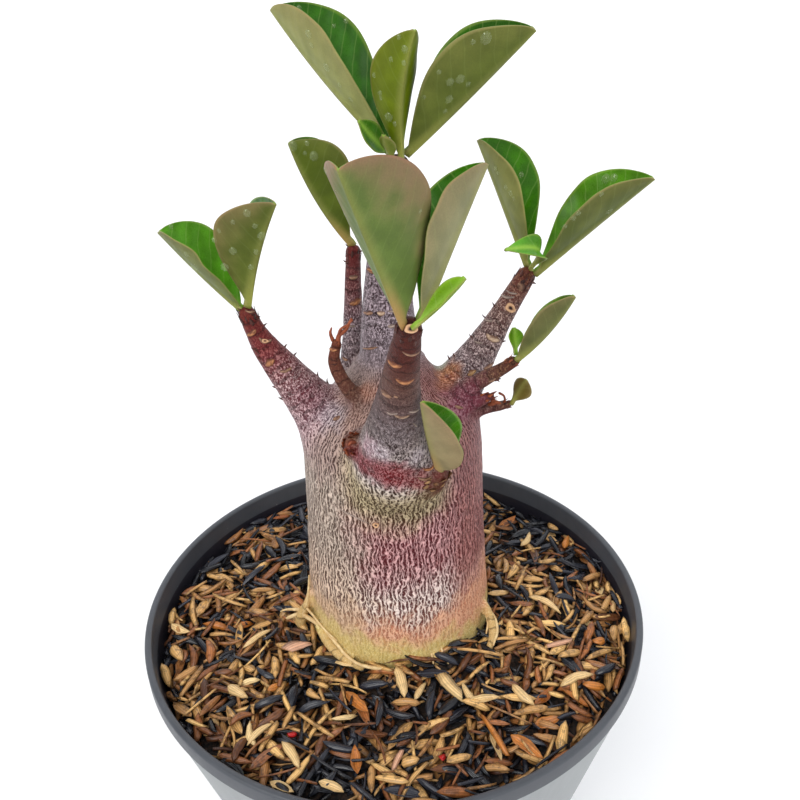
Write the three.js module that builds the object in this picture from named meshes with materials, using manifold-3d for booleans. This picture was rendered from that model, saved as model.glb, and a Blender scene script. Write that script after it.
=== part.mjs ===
// Potted desert rose (adenium): a swollen stem with thin leafy branches, in a round plastic pot of husks.
// Millimetres, +Z up, +X right, the viewer stands at -Y. The origin is the centre of the pot's foot.
import * as THREE from 'three';
import { mergeVertices } from 'three/addons/utils/BufferGeometryUtils.js';
import Module from 'manifold-3d';

const wasm = await Module();
wasm.setup();

// Driving sizes
const POT_HEIGHT = 112;
const POT_RADIUS = 75;
const POT_SIDES = 72;
const WALL = 2;
const LIP_WIDTH = 3.2;
const LIP_HEIGHT = 5;
const LIP_STEP = 0.5;
const LIP_ROUND = 0.8;
const FOOT_RADIUS = 47.5;
const FOOT_WIDTH = 5;
const FLOOR_THICKNESS = 3;
const FOOT_RECESS = 1.5;
const GAP = 0.3;

// The bed of husks: its height below the rim, its fall from the stem to the wall, and its slope to the back
const BED_DROP = 2.6;
const BED_FALL = 3.4;
const BED_SLOPE = 0.022;
const BED_SIDES = 48;
const BED_RINGS = 6;
const STEM_RADIUS = 27.4;
const HUSK_COUNT = 176;
const HUSK_LENGTH = [12, 16];
const HUSK_WIDTH = [5, 6.5];
const HUSK_THICKNESS = [3, 4];
const HUSK_TILT = 0.32;
const HUSK_RISE = 0.3;
const HUSK_STEM_MARGIN = 3;
const HUSK_WALL_MARGIN = 4;
const GOLDEN_ANGLE = Math.PI * (3 - Math.sqrt(5));
const SEED = 7;

const LEAF_THICKNESS = 0.8;
const STALK_LEAST = 0.45;
const STALK_SHARE = 0.016;
const TIP_HALF_WIDTH = 0.5;
const FOLD_EASE = 0.1;
const SEAT_MARGIN = 1;

// Each limb is a list of [x, y, z, radius] from its buried root to its end
const STEPS_PER_SPAN = 2;
const CAUDEX = [
  [1.8, 0, 74, 14], [1.8, 0, 82, 21], [1.8, 0, 96, 26.4], [1.8, 0, 108, STEM_RADIUS], [1.8, 0, 125, 26.6],
  [1.9, 0, 146, 25.5], [2.1, 0, 166, 24.9], [2.3, 0, 176, 23.4], [2.3, 1, 184, 18.5], [2.3, 1, 189, 12],
];
const CENTRE_STEM = [
  [2.3, 1, 178, 17], [2.3, 1, 188, 11.5], [2.3, 1.5, 197, 8.6], [2.4, 2, 208, 6.6],
  [3.2, 2, 220, 5.2], [4.6, 2, 232, 3.9], [6, 1.5, 240, 3], [6.5, 1.2, 243.5, 3.1],
];
const LEFT_BRANCH = [
  [-8, -1, 164, 13], [-12, -2, 171, 10.5], [-18, -3, 180.5, 7.2], [-24, -4, 189.5, 4.9],
  [-28.5, -4, 196.8, 3.7], [-31.5, -4, 203, 2.6], [-33.4, -4, 208.8, 2.1],
];
const RIGHT_BRANCH = [
  [9, 1, 165, 13], [14, 2, 172, 11], [20.5, 3, 182, 7.5], [26, 4, 190, 4.9],
  [31, 4, 199, 3.5], [35.5, 4, 207, 2.8], [39, 4, 213.3, 2.3],
];
const BACK_STEM = [
  [-9, 10, 172, 7], [-8.5, 14, 182, 4.2], [-8, 15, 192, 3], [-7.2, 15.5, 205, 2.4], [-6.3, 15.5, 218, 1.9],
];
const FRONT_STEM = [
  [3, -10, 163, 13], [3, -20, 172, 12], [3, -27, 181, 9], [3.6, -33, 192, 6.2],
  [4.4, -39, 202, 4.6], [5.4, -44, 211, 3.6], [6.4, -47.6, 218, 2.8], [7, -49.4, 222, 2.5],
];
const LOW_BRANCH = [
  [14, -6, 176, 5], [18, -6, 179.5, 4], [22, -7, 185.4, 2.5], [28, -8, 189.5, 1.9], [33, -9, 193.2, 1.5],
  [34.4, -9, 194.4, 1.7],
];
const SIDE_TWIG = [
  [18, -2, 174, 3.4], [22, -2.4, 176, 2.6], [27, -3, 177.2, 1.7], [31, -3.5, 178, 1.3], [34, -4, 178.8, 1],
];
const SIDE_STUB = [[20, -6, 179, 2.5], [24.5, -8, 182, 1.8], [27, -8.5, 183.3, 1.3], [28.8, -9, 184.3, 0.6]];
const DRY_TWIG = [
  [-4, -7, 172, 4], [-6.8, -9, 184.5, 2.2], [-10, -10, 191, 1.8], [-11.6, -10, 196.5, 1.6],
  [-10.4, -10, 202, 1.1],
];
const DRY_TWIG_CURL = [[-10.8, -10, 200.5, 0.8], [-8.6, -10.4, 204, 0.6], [-6.6, -10.6, 207.2, 0.5]];
const TWIG_SPUR = [[28.5, -3.2, 177.6, 0.9], [29.2, -3.6, 180, 0.7], [28.4, -4, 182, 0.5]];
const TWIG_HOOK = [[31, -3.5, 178, 0.8], [32, -4, 180.2, 0.6], [31.2, -4.4, 182, 0.5]];

// Bud scales at the foot of the front leaf, and the old bud on the left of the stem
const FRONT_BUD = [[10.5, -22, 168, 4.5], [12.2, -26.8, 171.6, 3.4], [13.4, -30.2, 175.8, 2.2]];
const OLD_BUD = [[-6.5, -21, 178, 4], [-7.6, -24.8, 180.4, 2.2], [-8.2, -26.4, 181.8, 1.1]];

// Surface roots: the yellow root that hugs the stem, and the peeling pieces on the left and the right
const YELLOW_ROOT = [
  [-24, -5, 106, 1.8], [-22.6, -13, 109.6, 1.9], [-17, -21.4, 110, 1.9], [-10.8, -27.6, 109.8, 1.8],
  [-3.5, -29.4, 108.6, 1.5],
];
const LEFT_KNOT = [
  [-22, -1, 112.5, 2.4], [-26.6, -4.4, 112.4, 2.2], [-30.4, -6.4, 110.4, 1.7], [-32.6, -8, 107.5, 1.4],
];
const LEFT_FLAP = [[-25, 1, 115, 1.2], [-27, -3, 114.6, 1.4], [-31.6, -8.6, 112.4, 1.1]];
const RIGHT_ROOT = [
  [26, 1, 113.6, 1.6], [29.4, -2, 112.6, 1.8], [31, -9, 110.2, 1.7], [31.6, -15.6, 109, 1.6],
  [29.4, -21, 106.5, 1.4],
];
const FRONT_FLAP = [[12, -22, 109.5, 1.6], [12.6, -25.6, 108.4, 1.5], [12.8, -28.4, 106, 1.3]];

// Leaves: the limb that carries each one, the midrib's base and tip, the side that the upper face looks to,
// the width, the fold of each half in degrees, the midrib's sag and sideways bow as parts of the length, and
// the blade's outline [place of the widest part, fullness]
const LEAVES = {
  leaf_top_left: {
    limb: CENTRE_STEM,
    base: [4.7, 2.8, 244.6], tip: [-21.4, 12, 274.9], face: [0.68, -0.27, 0.68],
    width: 27, fold: 51, sag: 0.03, bow: 0, outline: [1.5, 0.65],
  },
  leaf_top_front: {
    limb: CENTRE_STEM,
    base: [7.2, -1, 245], tip: [10.6, -12, 272.3], face: [-0.25, 0.9, 0.36],
    width: 18, fold: 54, sag: 0, bow: 0.05, outline: [1.3, 0.75],
  },
  leaf_top_right: {
    limb: CENTRE_STEM,
    base: [8.6, 1.8, 244.6], tip: [36.1, -6, 270.2], face: [-0.66, 0.03, 0.75],
    width: 26, fold: 58, sag: 0.01, bow: 0, outline: [1.3, 0.75],
  },
  leaf_top_small: {
    limb: CENTRE_STEM,
    base: [4, 0.2, 244.2], tip: [-2.1, -8, 252.6], face: [0.7, -0.7, 0.16],
    width: 6, fold: 20, sag: 0.05, bow: 0, outline: [1.1, 0.8],
  },
  leaf_top_bud: {
    limb: CENTRE_STEM,
    base: [4.9, -1.3, 244.4], tip: [3.2, -7, 249.9], face: [0.37, 0.63, 0.68],
    width: 4, fold: 20, sag: 0.05, bow: 0, outline: [1.1, 0.8],
  },
  leaf_back: {
    limb: BACK_STEM,
    base: [-6.6, 15.4, 219], tip: [-20.1, 12, 245.7], face: [0.82, 0.38, 0.44],
    width: 24, fold: 58, sag: 0.05, bow: 0, outline: [1.8, 0.65],
  },
  leaf_front_large: {
    limb: FRONT_STEM,
    base: [5.6, -50.6, 223.4], tip: [-3.4, -67.6, 256], face: [0.19, 0.84, 0.5],
    width: 30, fold: 56, sag: 0, bow: 0, outline: [1.3, 0.65],
  },
  leaf_front_right: {
    limb: FRONT_STEM,
    base: [8.9, -48.5, 222.9], tip: [21.9, -42, 249.8], face: [-0.89, -0.05, 0.45],
    width: 20, fold: 43, sag: 0, bow: 0, outline: [1.5, 0.7],
  },
  leaf_front_small: {
    limb: FRONT_STEM,
    base: [8, -51.4, 222.6], tip: [17.4, -52, 231.8], face: [-0.62, -0.45, 0.65],
    width: 5, fold: 42, sag: 0.04, bow: 0, outline: [1.6, 0.7],
  },
  leaf_left_outer: {
    limb: LEFT_BRANCH,
    base: [-34.6, -3.6, 209.8], tip: [-51.8, -3, 229.6], face: [0.74, -0.18, 0.64],
    width: 20, fold: 45, sag: 0.02, bow: 0, outline: [1.5, 0.55],
  },
  leaf_left_inner: {
    limb: LEFT_BRANCH,
    base: [-32.4, -4.6, 210.2], tip: [-21.8, -13, 236.7], face: [-0.76, 0.45, 0.47],
    width: 22, fold: 58, sag: -0.03, bow: 0, outline: [1.5, 0.7],
  },
  leaf_right_upper: {
    limb: RIGHT_BRANCH,
    base: [38.8, 5, 214.6], tip: [26.3, 10, 245], face: [0.82, -0.4, 0.41],
    width: 23, fold: 45, sag: 0, bow: 0, outline: [1.5, 0.65],
  },
  leaf_right_outer: {
    limb: RIGHT_BRANCH,
    base: [41, 3.4, 213.8], tip: [66.4, -3, 237.8], face: [-0.67, 0, 0.74],
    width: 22, fold: 50, sag: 0, bow: 0, outline: [1.4, 0.75],
  },
  leaf_right_curled: {
    limb: RIGHT_BRANCH,
    base: [39, 2, 214.4], tip: [31.1, -8, 222.6], face: [0.81, -0.3, 0.51],
    width: 7, fold: 25, sag: -0.35, bow: 0, outline: [1.45, 0.8],
  },
  leaf_low: {
    limb: LOW_BRANCH,
    base: [34.9, -9.5, 195.4], tip: [47.6, -12, 212.3], face: [-0.7, 0.32, 0.64],
    width: 12, fold: 52, sag: 0.05, bow: 0, outline: [1.2, 0.75],
  },
  leaf_low_small: {
    limb: LOW_BRANCH,
    base: [34.1, -8.3, 196], tip: [33.7, -6, 201.6], face: [0.37, -0.86, 0.36],
    width: 4.5, fold: 30, sag: 0.02, bow: 0, outline: [1.45, 0.8],
  },
  leaf_twig: {
    limb: SIDE_TWIG,
    base: [34.6, -4.1, 179.6], tip: [37.8, -5, 186.3], face: [0.74, 0.61, -0.3],
    width: 6.5, fold: 15, sag: 0.03, bow: 0, outline: [1.45, 0.8],
  },
  leaf_bud: {
    limb: FRONT_BUD,
    base: [13.6, -31, 176.6], tip: [9.4, -43.4, 201.4], face: [0.97, -0.1, 0.12],
    width: 16, fold: 62, sag: 0.02, bow: 0, outline: [0.85, 0.8],
  },
};
const LARGE_LEAF = 10;
const LARGE_LEAF_GRID = { steps: 10, halfSteps: 2 };
const SMALL_LEAF_GRID = { steps: 6, halfSteps: 1 };

// A small seeded random number source, so the husks always fall the same way
function seededRandom(seed) {
  let state = seed;
  return () => {
    state = (state + 0x6d2b79f5) | 0;
    let value = Math.imul(state ^ (state >>> 15), 1 | state);
    value = (value + Math.imul(value ^ (value >>> 7), 61 | value)) ^ value;
    return ((value ^ (value >>> 14)) >>> 0) / 4294967296;
  };
}

function toSolid(geometry) {
  const bare = geometry.clone();
  bare.deleteAttribute('normal');
  bare.deleteAttribute('uv');
  const merged = mergeVertices(bare, 1e-4);
  const vertProperties = new Float32Array(merged.attributes.position.array);
  const triVerts = new Uint32Array(merged.index.array);
  return new wasm.Manifold(new wasm.Mesh({ numProp: 3, vertProperties, triVerts }));
}

function toGeometry(solid) {
  const mesh = solid.getMesh();
  const geometry = new THREE.BufferGeometry();
  geometry.setAttribute('position', new THREE.BufferAttribute(mesh.vertProperties, 3));
  geometry.setIndex(new THREE.BufferAttribute(mesh.triVerts, 1));
  geometry.computeVertexNormals();
  return geometry;
}

function joined(solids) {
  return solids.reduce((whole, solid) => whole.add(solid));
}

// The largest body of a cut solid, without the crumbs that the cut leaves loose
function largest(solid) {
  const bodies = solid.decompose();
  return bodies.reduce((best, body) => (body.volume() > best.volume() ? body : best));
}

function material(colour, roughness) {
  return new THREE.MeshStandardMaterial({ color: colour, roughness, metalness: 0 });
}

function namedMesh(name, geometry, look) {
  const mesh = new THREE.Mesh(geometry, look);
  mesh.name = name;
  return mesh;
}

// A closed cylinder bent along a smooth curve through the points, with its radius blended from point to point
function limb(points, sides, extra) {
  const curve = new THREE.CatmullRomCurve3(points.map(([x, y, z]) => new THREE.Vector3(x, y, z)));
  const spans = points.length - 1;
  const geometry = new THREE.CylinderGeometry(1, 1, 1, sides, spans * STEPS_PER_SPAN);
  const position = geometry.attributes.position;
  const across = new THREE.Vector3(0.3, 1, 0.1).normalize();
  for (let i = 0; i < position.count; i += 1) {
    const along = position.getY(i) + 0.5;
    const span = Math.min(Math.floor(along * spans), spans - 1);
    const blend = along * spans - span;
    const radius = THREE.MathUtils.lerp(points[span][3], points[span + 1][3], blend) + extra;
    const centre = curve.getPoint(along);
    const forward = curve.getTangent(along);
    const side = new THREE.Vector3().crossVectors(forward, across).normalize();
    const up = new THREE.Vector3().crossVectors(side, forward);
    const grow = extra * (2 * along - 1);
    const place = centre
      .addScaledVector(side, position.getX(i) * radius)
      .addScaledVector(up, position.getZ(i) * radius)
      .addScaledVector(forward, grow);
    position.setXYZ(i, place.x, place.y, place.z);
  }
  return toSolid(geometry);
}

// The whole grown body, larger by a clearance where the bed is cut to take it
function plantSolid(clearance = 0) {
  const sets = [
    { sides: 36, limbs: [CAUDEX] },
    { sides: 16, limbs: [CENTRE_STEM, FRONT_STEM] },
    { sides: 14, limbs: [LEFT_BRANCH, RIGHT_BRANCH] },
    { sides: 10, limbs: [BACK_STEM, LOW_BRANCH, SIDE_TWIG, SIDE_STUB, DRY_TWIG] },
    { sides: 8, limbs: [DRY_TWIG_CURL, TWIG_SPUR, TWIG_HOOK, FRONT_BUD, OLD_BUD] },
    { sides: 8, limbs: [YELLOW_ROOT, LEFT_KNOT, LEFT_FLAP, RIGHT_ROOT, FRONT_FLAP] },
  ];
  return joined(sets.flatMap(({ sides, limbs }) => limbs.map((points) => limb(points, sides, clearance))));
}

// Radius of the pot's outer wall at a height, under the lip
function outerRadius(z) {
  const wallTop = POT_RADIUS - LIP_STEP;
  return THREE.MathUtils.mapLinear(z, 0, POT_HEIGHT - LIP_HEIGHT, FOOT_RADIUS, wallTop);
}

function innerRadius(z) {
  return Math.min(outerRadius(z) - WALL, POT_RADIUS - LIP_WIDTH);
}

function turned(profile, sides) {
  const points = profile.map(([radius, z]) => new THREE.Vector2(radius, z));
  const geometry = new THREE.LatheGeometry(points, sides);
  geometry.rotateX(Math.PI / 2);
  return geometry;
}

function potGeometry() {
  const lipBottom = POT_HEIGHT - LIP_HEIGHT;
  const profile = [
    [0, FOOT_RECESS],
    [FOOT_RADIUS - FOOT_WIDTH, FOOT_RECESS],
    [FOOT_RADIUS - FOOT_WIDTH, 0],
    [FOOT_RADIUS, 0],
    [outerRadius(lipBottom), lipBottom],
    [POT_RADIUS, lipBottom],
    [POT_RADIUS, POT_HEIGHT - LIP_ROUND],
    [POT_RADIUS - LIP_ROUND, POT_HEIGHT],
    [POT_RADIUS - LIP_WIDTH, POT_HEIGHT],
    [innerRadius(lipBottom - LIP_HEIGHT), lipBottom - LIP_HEIGHT],
    [innerRadius(FLOOR_THICKNESS), FLOOR_THICKNESS],
    [0, FLOOR_THICKNESS],
  ];
  return turned(profile, POT_SIDES);
}

// Height of the bed's surface, highest beside the stem and at the front
function bedHeight(x, y) {
  const radius = Math.hypot(x, y);
  const reach = Math.max(0, (radius - STEM_RADIUS) / (POT_RADIUS - LIP_WIDTH - STEM_RADIUS));
  return POT_HEIGHT - BED_DROP - BED_FALL * reach - BED_SLOPE * (y + STEM_RADIUS);
}

// Everything that the pot can hold, up to well above its rim
function potInside() {
  const bottom = FLOOR_THICKNESS + GAP;
  const shoulder = POT_HEIGHT - 2 * LIP_HEIGHT;
  const profile = [
    [0, bottom],
    [innerRadius(bottom) - GAP, bottom],
    [innerRadius(shoulder) - GAP, shoulder],
    [POT_RADIUS - LIP_WIDTH - GAP, POT_HEIGHT],
    [POT_RADIUS - LIP_WIDTH - GAP, POT_HEIGHT + 2 * LIP_HEIGHT],
    [0, POT_HEIGHT + 2 * LIP_HEIGHT],
  ];
  return toSolid(turned(profile, BED_SIDES));
}

// A lathe blank whose upper vertices are lifted to the bed's surface
function bedBlank() {
  const profile = [[0, 0], [POT_RADIUS, 0]];
  for (let ring = 0; ring <= BED_RINGS; ring += 1) {
    profile.push([POT_RADIUS * (1 - ring / BED_RINGS), POT_HEIGHT]);
  }
  const geometry = turned(profile, BED_SIDES);
  const position = geometry.attributes.position;
  for (let i = 0; i < position.count; i += 1) {
    if (position.getZ(i) > POT_HEIGHT / 2) {
      position.setZ(i, bedHeight(position.getX(i), position.getY(i)));
    }
  }
  return toSolid(geometry);
}

// One chip of the heap, placed by the golden angle so that they spread evenly, and turned at random
function husk(index, random) {
  const pick = ([low, high]) => THREE.MathUtils.lerp(low, high, random());
  const inner = STEM_RADIUS + HUSK_STEM_MARGIN;
  const outer = POT_RADIUS - LIP_WIDTH - HUSK_WALL_MARGIN;
  const share = (index + 0.5) / HUSK_COUNT;
  const radius = Math.sqrt(THREE.MathUtils.lerp(inner * inner, outer * outer, share));
  const angle = index * GOLDEN_ANGLE;
  const geometry = new THREE.OctahedronGeometry(1);
  geometry.scale(pick(HUSK_LENGTH) / 2, pick(HUSK_WIDTH) / 2, pick(HUSK_THICKNESS) / 2);
  geometry.rotateY(HUSK_TILT * (2 * random() - 1));
  geometry.rotateZ(Math.PI * random());
  const x = radius * Math.cos(angle);
  const y = radius * Math.sin(angle);
  geometry.translate(x, y, bedHeight(x, y) + HUSK_RISE);
  return toSolid(geometry);
}

function bedGeometry() {
  const random = seededRandom(SEED);
  const husks = Array.from({ length: HUSK_COUNT }, (unused, index) => husk(index, random));
  const heap = joined([bedBlank(), ...husks]);
  return toGeometry(largest(heap.intersect(potInside()).subtract(plantSolid(GAP))));
}

// Half the blade's width along the midrib, narrow at the stalk and blunt at the tip, where the sine runs out
function halfWidth(leaf, along) {
  const [place, fullness] = leaf.outline;
  const blade = (leaf.width / 2) * Math.sin(Math.PI * along ** place) ** fullness;
  const stalk = STALK_LEAST + STALK_SHARE * leaf.width;
  const least = THREE.MathUtils.lerp(stalk, TIP_HALF_WIDTH, along);
  return Math.max(Number.isFinite(blade) ? blade : 0, least);
}

// A blade folded along its midrib: an upper and a lower skin over the same grid, joined round the edge
function leafGeometry(leaf) {
  const base = new THREE.Vector3(...leaf.base);
  const chord = new THREE.Vector3(...leaf.tip).sub(base);
  const length = chord.length();
  const axis = chord.clone().normalize();
  const face = new THREE.Vector3(...leaf.face);
  face.addScaledVector(axis, -face.dot(axis)).normalize();
  const side = new THREE.Vector3().crossVectors(axis, face);
  const fold = THREE.MathUtils.degToRad(leaf.fold);
  const { steps, halfSteps } = leaf.width > LARGE_LEAF ? LARGE_LEAF_GRID : SMALL_LEAF_GRID;
  const columns = 2 * halfSteps + 1;
  const upper = [];
  const lower = [];
  for (let row = 0; row <= steps; row += 1) {
    const along = row / steps;
    const arch = 4 * along * (1 - along) * length;
    const half = halfWidth(leaf, along);
    for (let column = -halfSteps; column <= halfSteps; column += 1) {
      const out = Math.abs(column) / halfSteps;
      const turn = Math.sign(column);
      const lift = fold * (1 + FOLD_EASE * (1 - out));
      const point = base.clone().addScaledVector(axis, along * length);
      point.addScaledVector(face, -leaf.sag * arch).addScaledVector(side, leaf.bow * arch);
      point.addScaledVector(side, turn * half * out * Math.cos(lift));
      point.addScaledVector(face, half * out * Math.sin(lift));
      upper.push(point);
      const sink = turn === 0 ? 1 / Math.cos(lift) : Math.cos(lift);
      const under = face.clone().multiplyScalar(-LEAF_THICKNESS * sink);
      under.addScaledVector(side, turn * LEAF_THICKNESS * Math.sin(lift));
      lower.push(point.clone().add(under));
    }
  }
  const place = (skin, row, column) => skin * upper.length + row * columns + column;
  const faces = [];
  const quad = (a, b, c, d) => faces.push(a, b, c, a, c, d);
  for (let row = 0; row < steps; row += 1) {
    for (let column = 0; column < columns - 1; column += 1) {
      const corners = [[row, column], [row, column + 1], [row + 1, column + 1], [row + 1, column]];
      const [a, b, c, d] = corners.map(([r, k]) => place(0, r, k));
      quad(a, b, c, d);
      const [e, f, g, h] = corners.map(([r, k]) => place(1, r, k));
      faces.push(e, g, f, e, h, g);
    }
    quad(place(0, row, 0), place(0, row + 1, 0), place(1, row + 1, 0), place(1, row, 0));
    const last = columns - 1;
    quad(place(0, row + 1, last), place(0, row, last), place(1, row, last), place(1, row + 1, last));
  }
  for (let column = 0; column < columns - 1; column += 1) {
    quad(place(0, 0, column + 1), place(0, 0, column), place(1, 0, column), place(1, 0, column + 1));
    const end = steps;
    quad(place(0, end, column), place(0, end, column + 1), place(1, end, column + 1), place(1, end, column));
  }
  const geometry = new THREE.BufferGeometry().setFromPoints([...upper, ...lower]);
  geometry.setIndex(faces);
  seatOnLimb(geometry, leaf.limb);
  geometry.computeVertexNormals();
  return geometry;
}

// Moves a leaf along its limb until the stalk stands clear of the limb's end face by the gap
function seatOnLimb(geometry, limbPoints) {
  const centres = limbPoints.map(([x, y, z]) => new THREE.Vector3(x, y, z));
  const forward = new THREE.CatmullRomCurve3(centres).getTangent(1);
  const end = centres.at(-1);
  const endRadius = limbPoints.at(-1)[3];
  const position = geometry.attributes.position;
  let lowest = Infinity;
  for (let i = 0; i < position.count; i += 1) {
    const offset = new THREE.Vector3().fromBufferAttribute(position, i).sub(end);
    const height = offset.dot(forward);
    const reach = offset.addScaledVector(forward, -height).length();
    if (reach < endRadius + SEAT_MARGIN) {
      lowest = Math.min(lowest, height);
    }
  }
  const shift = forward.multiplyScalar(GAP - lowest);
  geometry.translate(shift.x, shift.y, shift.z);
}

function pot() {
  return namedMesh('pot', potGeometry(), material(0x6f7a80, 0.55));
}

function huskBed() {
  return namedMesh('husk_bed', bedGeometry(), material(0x5a4128, 0.85));
}

function plantBody() {
  return namedMesh('plant_body', toGeometry(plantSolid()), material(0x7a5a58, 0.8));
}

function leaves() {
  const group = new THREE.Group();
  for (const [name, leaf] of Object.entries(LEAVES)) {
    group.add(namedMesh(name, leafGeometry(leaf), material(0x4f7a2c, 0.4)));
  }
  return group;
}

const plant = new THREE.Group();
plant.add(pot(), huskBed(), plantBody(), leaves());

export default plant;
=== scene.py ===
"""Potted desert rose: the looks of every surface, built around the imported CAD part.

Lengths are millimetres in the CAD frame until a mesh is made, where they become metres.
"""

import math

import bpy
import numpy as np
from mathutils import Matrix, Vector
from mathutils.bvhtree import BVHTree


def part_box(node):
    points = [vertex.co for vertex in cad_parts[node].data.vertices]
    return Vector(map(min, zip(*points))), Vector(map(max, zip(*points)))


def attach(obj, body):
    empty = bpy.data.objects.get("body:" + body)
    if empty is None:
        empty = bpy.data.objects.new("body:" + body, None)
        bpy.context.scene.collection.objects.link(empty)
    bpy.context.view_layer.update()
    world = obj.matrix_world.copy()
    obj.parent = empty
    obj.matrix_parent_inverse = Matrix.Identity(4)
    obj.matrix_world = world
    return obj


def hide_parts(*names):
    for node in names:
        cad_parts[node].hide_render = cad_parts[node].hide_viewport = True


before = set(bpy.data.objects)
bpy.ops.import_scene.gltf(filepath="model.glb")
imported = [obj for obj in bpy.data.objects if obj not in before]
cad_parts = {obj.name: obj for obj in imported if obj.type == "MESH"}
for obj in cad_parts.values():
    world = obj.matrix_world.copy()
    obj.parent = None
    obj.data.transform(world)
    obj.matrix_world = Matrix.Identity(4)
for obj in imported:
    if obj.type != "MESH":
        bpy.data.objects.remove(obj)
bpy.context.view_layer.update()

MM = 0.001

# Camera, from the photograph's perspective
CAMERA_PLACE = (4.5, -192.7, 280.6)
CAMERA_DOWN = math.radians(27.75)
CAMERA_ROLL = math.radians(-2.26)
LENS = 36
SENSOR = 36
PIXELS = 800
NEAREST_SEEN = 0.01

# Studio: for each light the way to it, its strength, its width in degrees and its colour
LIGHTS = {
    "key_light": ((-0.42, -0.75, 0.9), 2.0, 45, (1, 0.985, 0.96)),
    "fill_light": ((0.8, -0.8, 0.35), 0.75, 80, (0.97, 0.985, 1)),
    "back_light": ((0.2, 0.9, 0.9), 0.6, 60, (1, 1, 1)),
}
SKY_COLOUR = (0.93, 0.96, 1, 1)
SKY_STRENGTH = 0.62
FLOOR_FRONT = -4000
FLOOR_BACK = 1500
FLOOR_TOP = 4500
FLOOR_HALF = 6000

# Pot
POT_HEIGHT = 112
POT_RADIUS = 75
WALL = 2
LIP_WIDTH = 2.0
LIP_HEIGHT = 5
LIP_STEP = 0.5
FOOT_RADIUS = 47.5
FOOT_WIDTH = 5
FLOOR_THICKNESS = 3
FOOT_RECESS = 1.5
POT_SIDES = 240
# Rounding of its corners
WALL_ROUND = 1.2
LIP_ROUND = 0.9
INSIDE_ROUND = 1.5

# Bed of husks
BED_DROP = 2.6
BED_FALL = 3.4
BED_SLOPE = 0.022
STEM_RADIUS = 27.4
STEM_X = 1.8
BANK_HEIGHT = 2.6
BANK_WIDTH = 6
WALL_DIP = 1.0
WALL_DIP_WIDTH = 10

# Grown body: each limb is a path of (x, y, z, radius)
LIMBS = {
    "caudex": [
        (1.8, 0, 92, 25.4), (1.8, 0, 96, 26.4), (1.8, 0, 108, 27.4), (1.8, 0, 125, 26.6),
        (1.9, 0, 146, 25.5), (2.1, 0, 166, 24.7), (2.2, 0, 172, 24), (2.3, 0, 176, 22.4),
        (2.3, 0.5, 180, 19), (2.3, 1, 184, 15), (2.3, 1, 188, 11.5), (2.3, 1, 191, 9),
    ],
    "centre": [
        (2.3, 1, 178, 11), (2.3, 1, 188, 8.7), (2.3, 1.5, 197, 7.5), (2.4, 2, 208, 6.5),
        (3.2, 2, 220, 5.2), (4.6, 2, 232, 3.9), (6, 1.5, 240, 3), (6.5, 1.2, 243.5, 3.1),
    ],
    "left": [
        (-8, -1, 164, 13), (-12, -2, 171, 10.5), (-18.3, -3, 180.3, 6.8), (-24, -4, 189.5, 4.9),
        (-28.5, -4, 196.8, 3.7), (-31.5, -4, 203, 2.6), (-33.4, -4, 208.8, 2.1),
    ],
    "right": [
        (9, 1, 165, 13), (14, 2, 172, 10.6), (20.5, 3, 181.6, 7), (26, 4, 190, 4.9), (31, 4, 199, 3.5),
        (35.5, 4, 207, 2.8), (39, 4, 213.3, 2.3),
    ],
    "back": [
        (-9, 10, 172, 7), (-8.5, 14, 182, 4.2), (-8, 15, 192, 3), (-7.2, 15.5, 205, 2.4),
        (-6.3, 15.5, 218, 1.9),
    ],
    "front": [
        (3, -10, 163, 13), (3, -20, 172, 12), (3, -27, 181, 9), (3.6, -33, 192, 6.2), (4.4, -39, 202, 4.6),
        (5.4, -44, 211, 3.6), (6.4, -47.6, 218, 2.8), (7, -49.4, 222, 2.5),
    ],
    "low": [
        (14, -6, 176, 5), (18, -6, 179.5, 4), (22, -7, 185.4, 2.5), (28, -8, 189.5, 1.9),
        (33, -9, 193.2, 1.5), (34.4, -9, 194.4, 1.7),
    ],
    "twig": [
        (18, -2, 174, 3.4), (22, -2.4, 176, 2.6), (27, -3, 177.2, 1.7), (31, -3.5, 178, 1.3),
        (34, -4, 178.8, 1),
    ],
    "stub": [(20, -6, 179, 2.5), (24.5, -8, 182, 1.8), (27, -8.5, 183.3, 1.3), (28.8, -9, 184.3, 0.6)],
    "dry": [
        (-4, -7, 172, 4), (-6.8, -9, 184.5, 2.2), (-10, -10, 191, 1.8), (-11.6, -10, 196.5, 1.6),
        (-10.4, -10, 202, 1.1),
    ],
    "front_bud": [(10.5, -22, 168, 4.5), (12.2, -26.8, 171.6, 3.4), (13.4, -30.2, 175.8, 2.2)],
    "old_bud": [(-6.5, -21, 178, 4), (-7.6, -24.8, 180.4, 2.2), (-8.2, -26.4, 181.8, 1.1)],
    "yellow_root": [
        (-22, -15.8, 113.6, 0.9), (-20.8, -17.6, 112.8, 1.15), (-19, -20.2, 111.4, 1.3),
        (-17, -22.6, 110.5, 1.3), (-14.2, -25, 109.9, 1.2), (-11.2, -26.9, 109.3, 1),
        (-8.7, -27.6, 108.4, 0.9),
    ],
    "left_knot": [
        (-24.4, -8, 120.5, 0.9), (-25.6, -9.4, 117, 1), (-27, -9.2, 113.6, 1.5), (-27.8, -9.4, 111.4, 1.6),
        (-28, -9.6, 108, 1.3),
    ],
    "right_root": [
        (26.6, -10.4, 116.4, 0.9), (28, -12.6, 114, 1.2), (28.9, -15, 112, 1.3), (28.8, -18.6, 110.2, 1.2),
        (27.2, -22, 107.5, 1),
    ],
    "front_flap": [(11.2, -22.5, 113.6, 0.9), (11.6, -24.6, 111.4, 1.1), (12.2, -27, 108.2, 1)],
}
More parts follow.
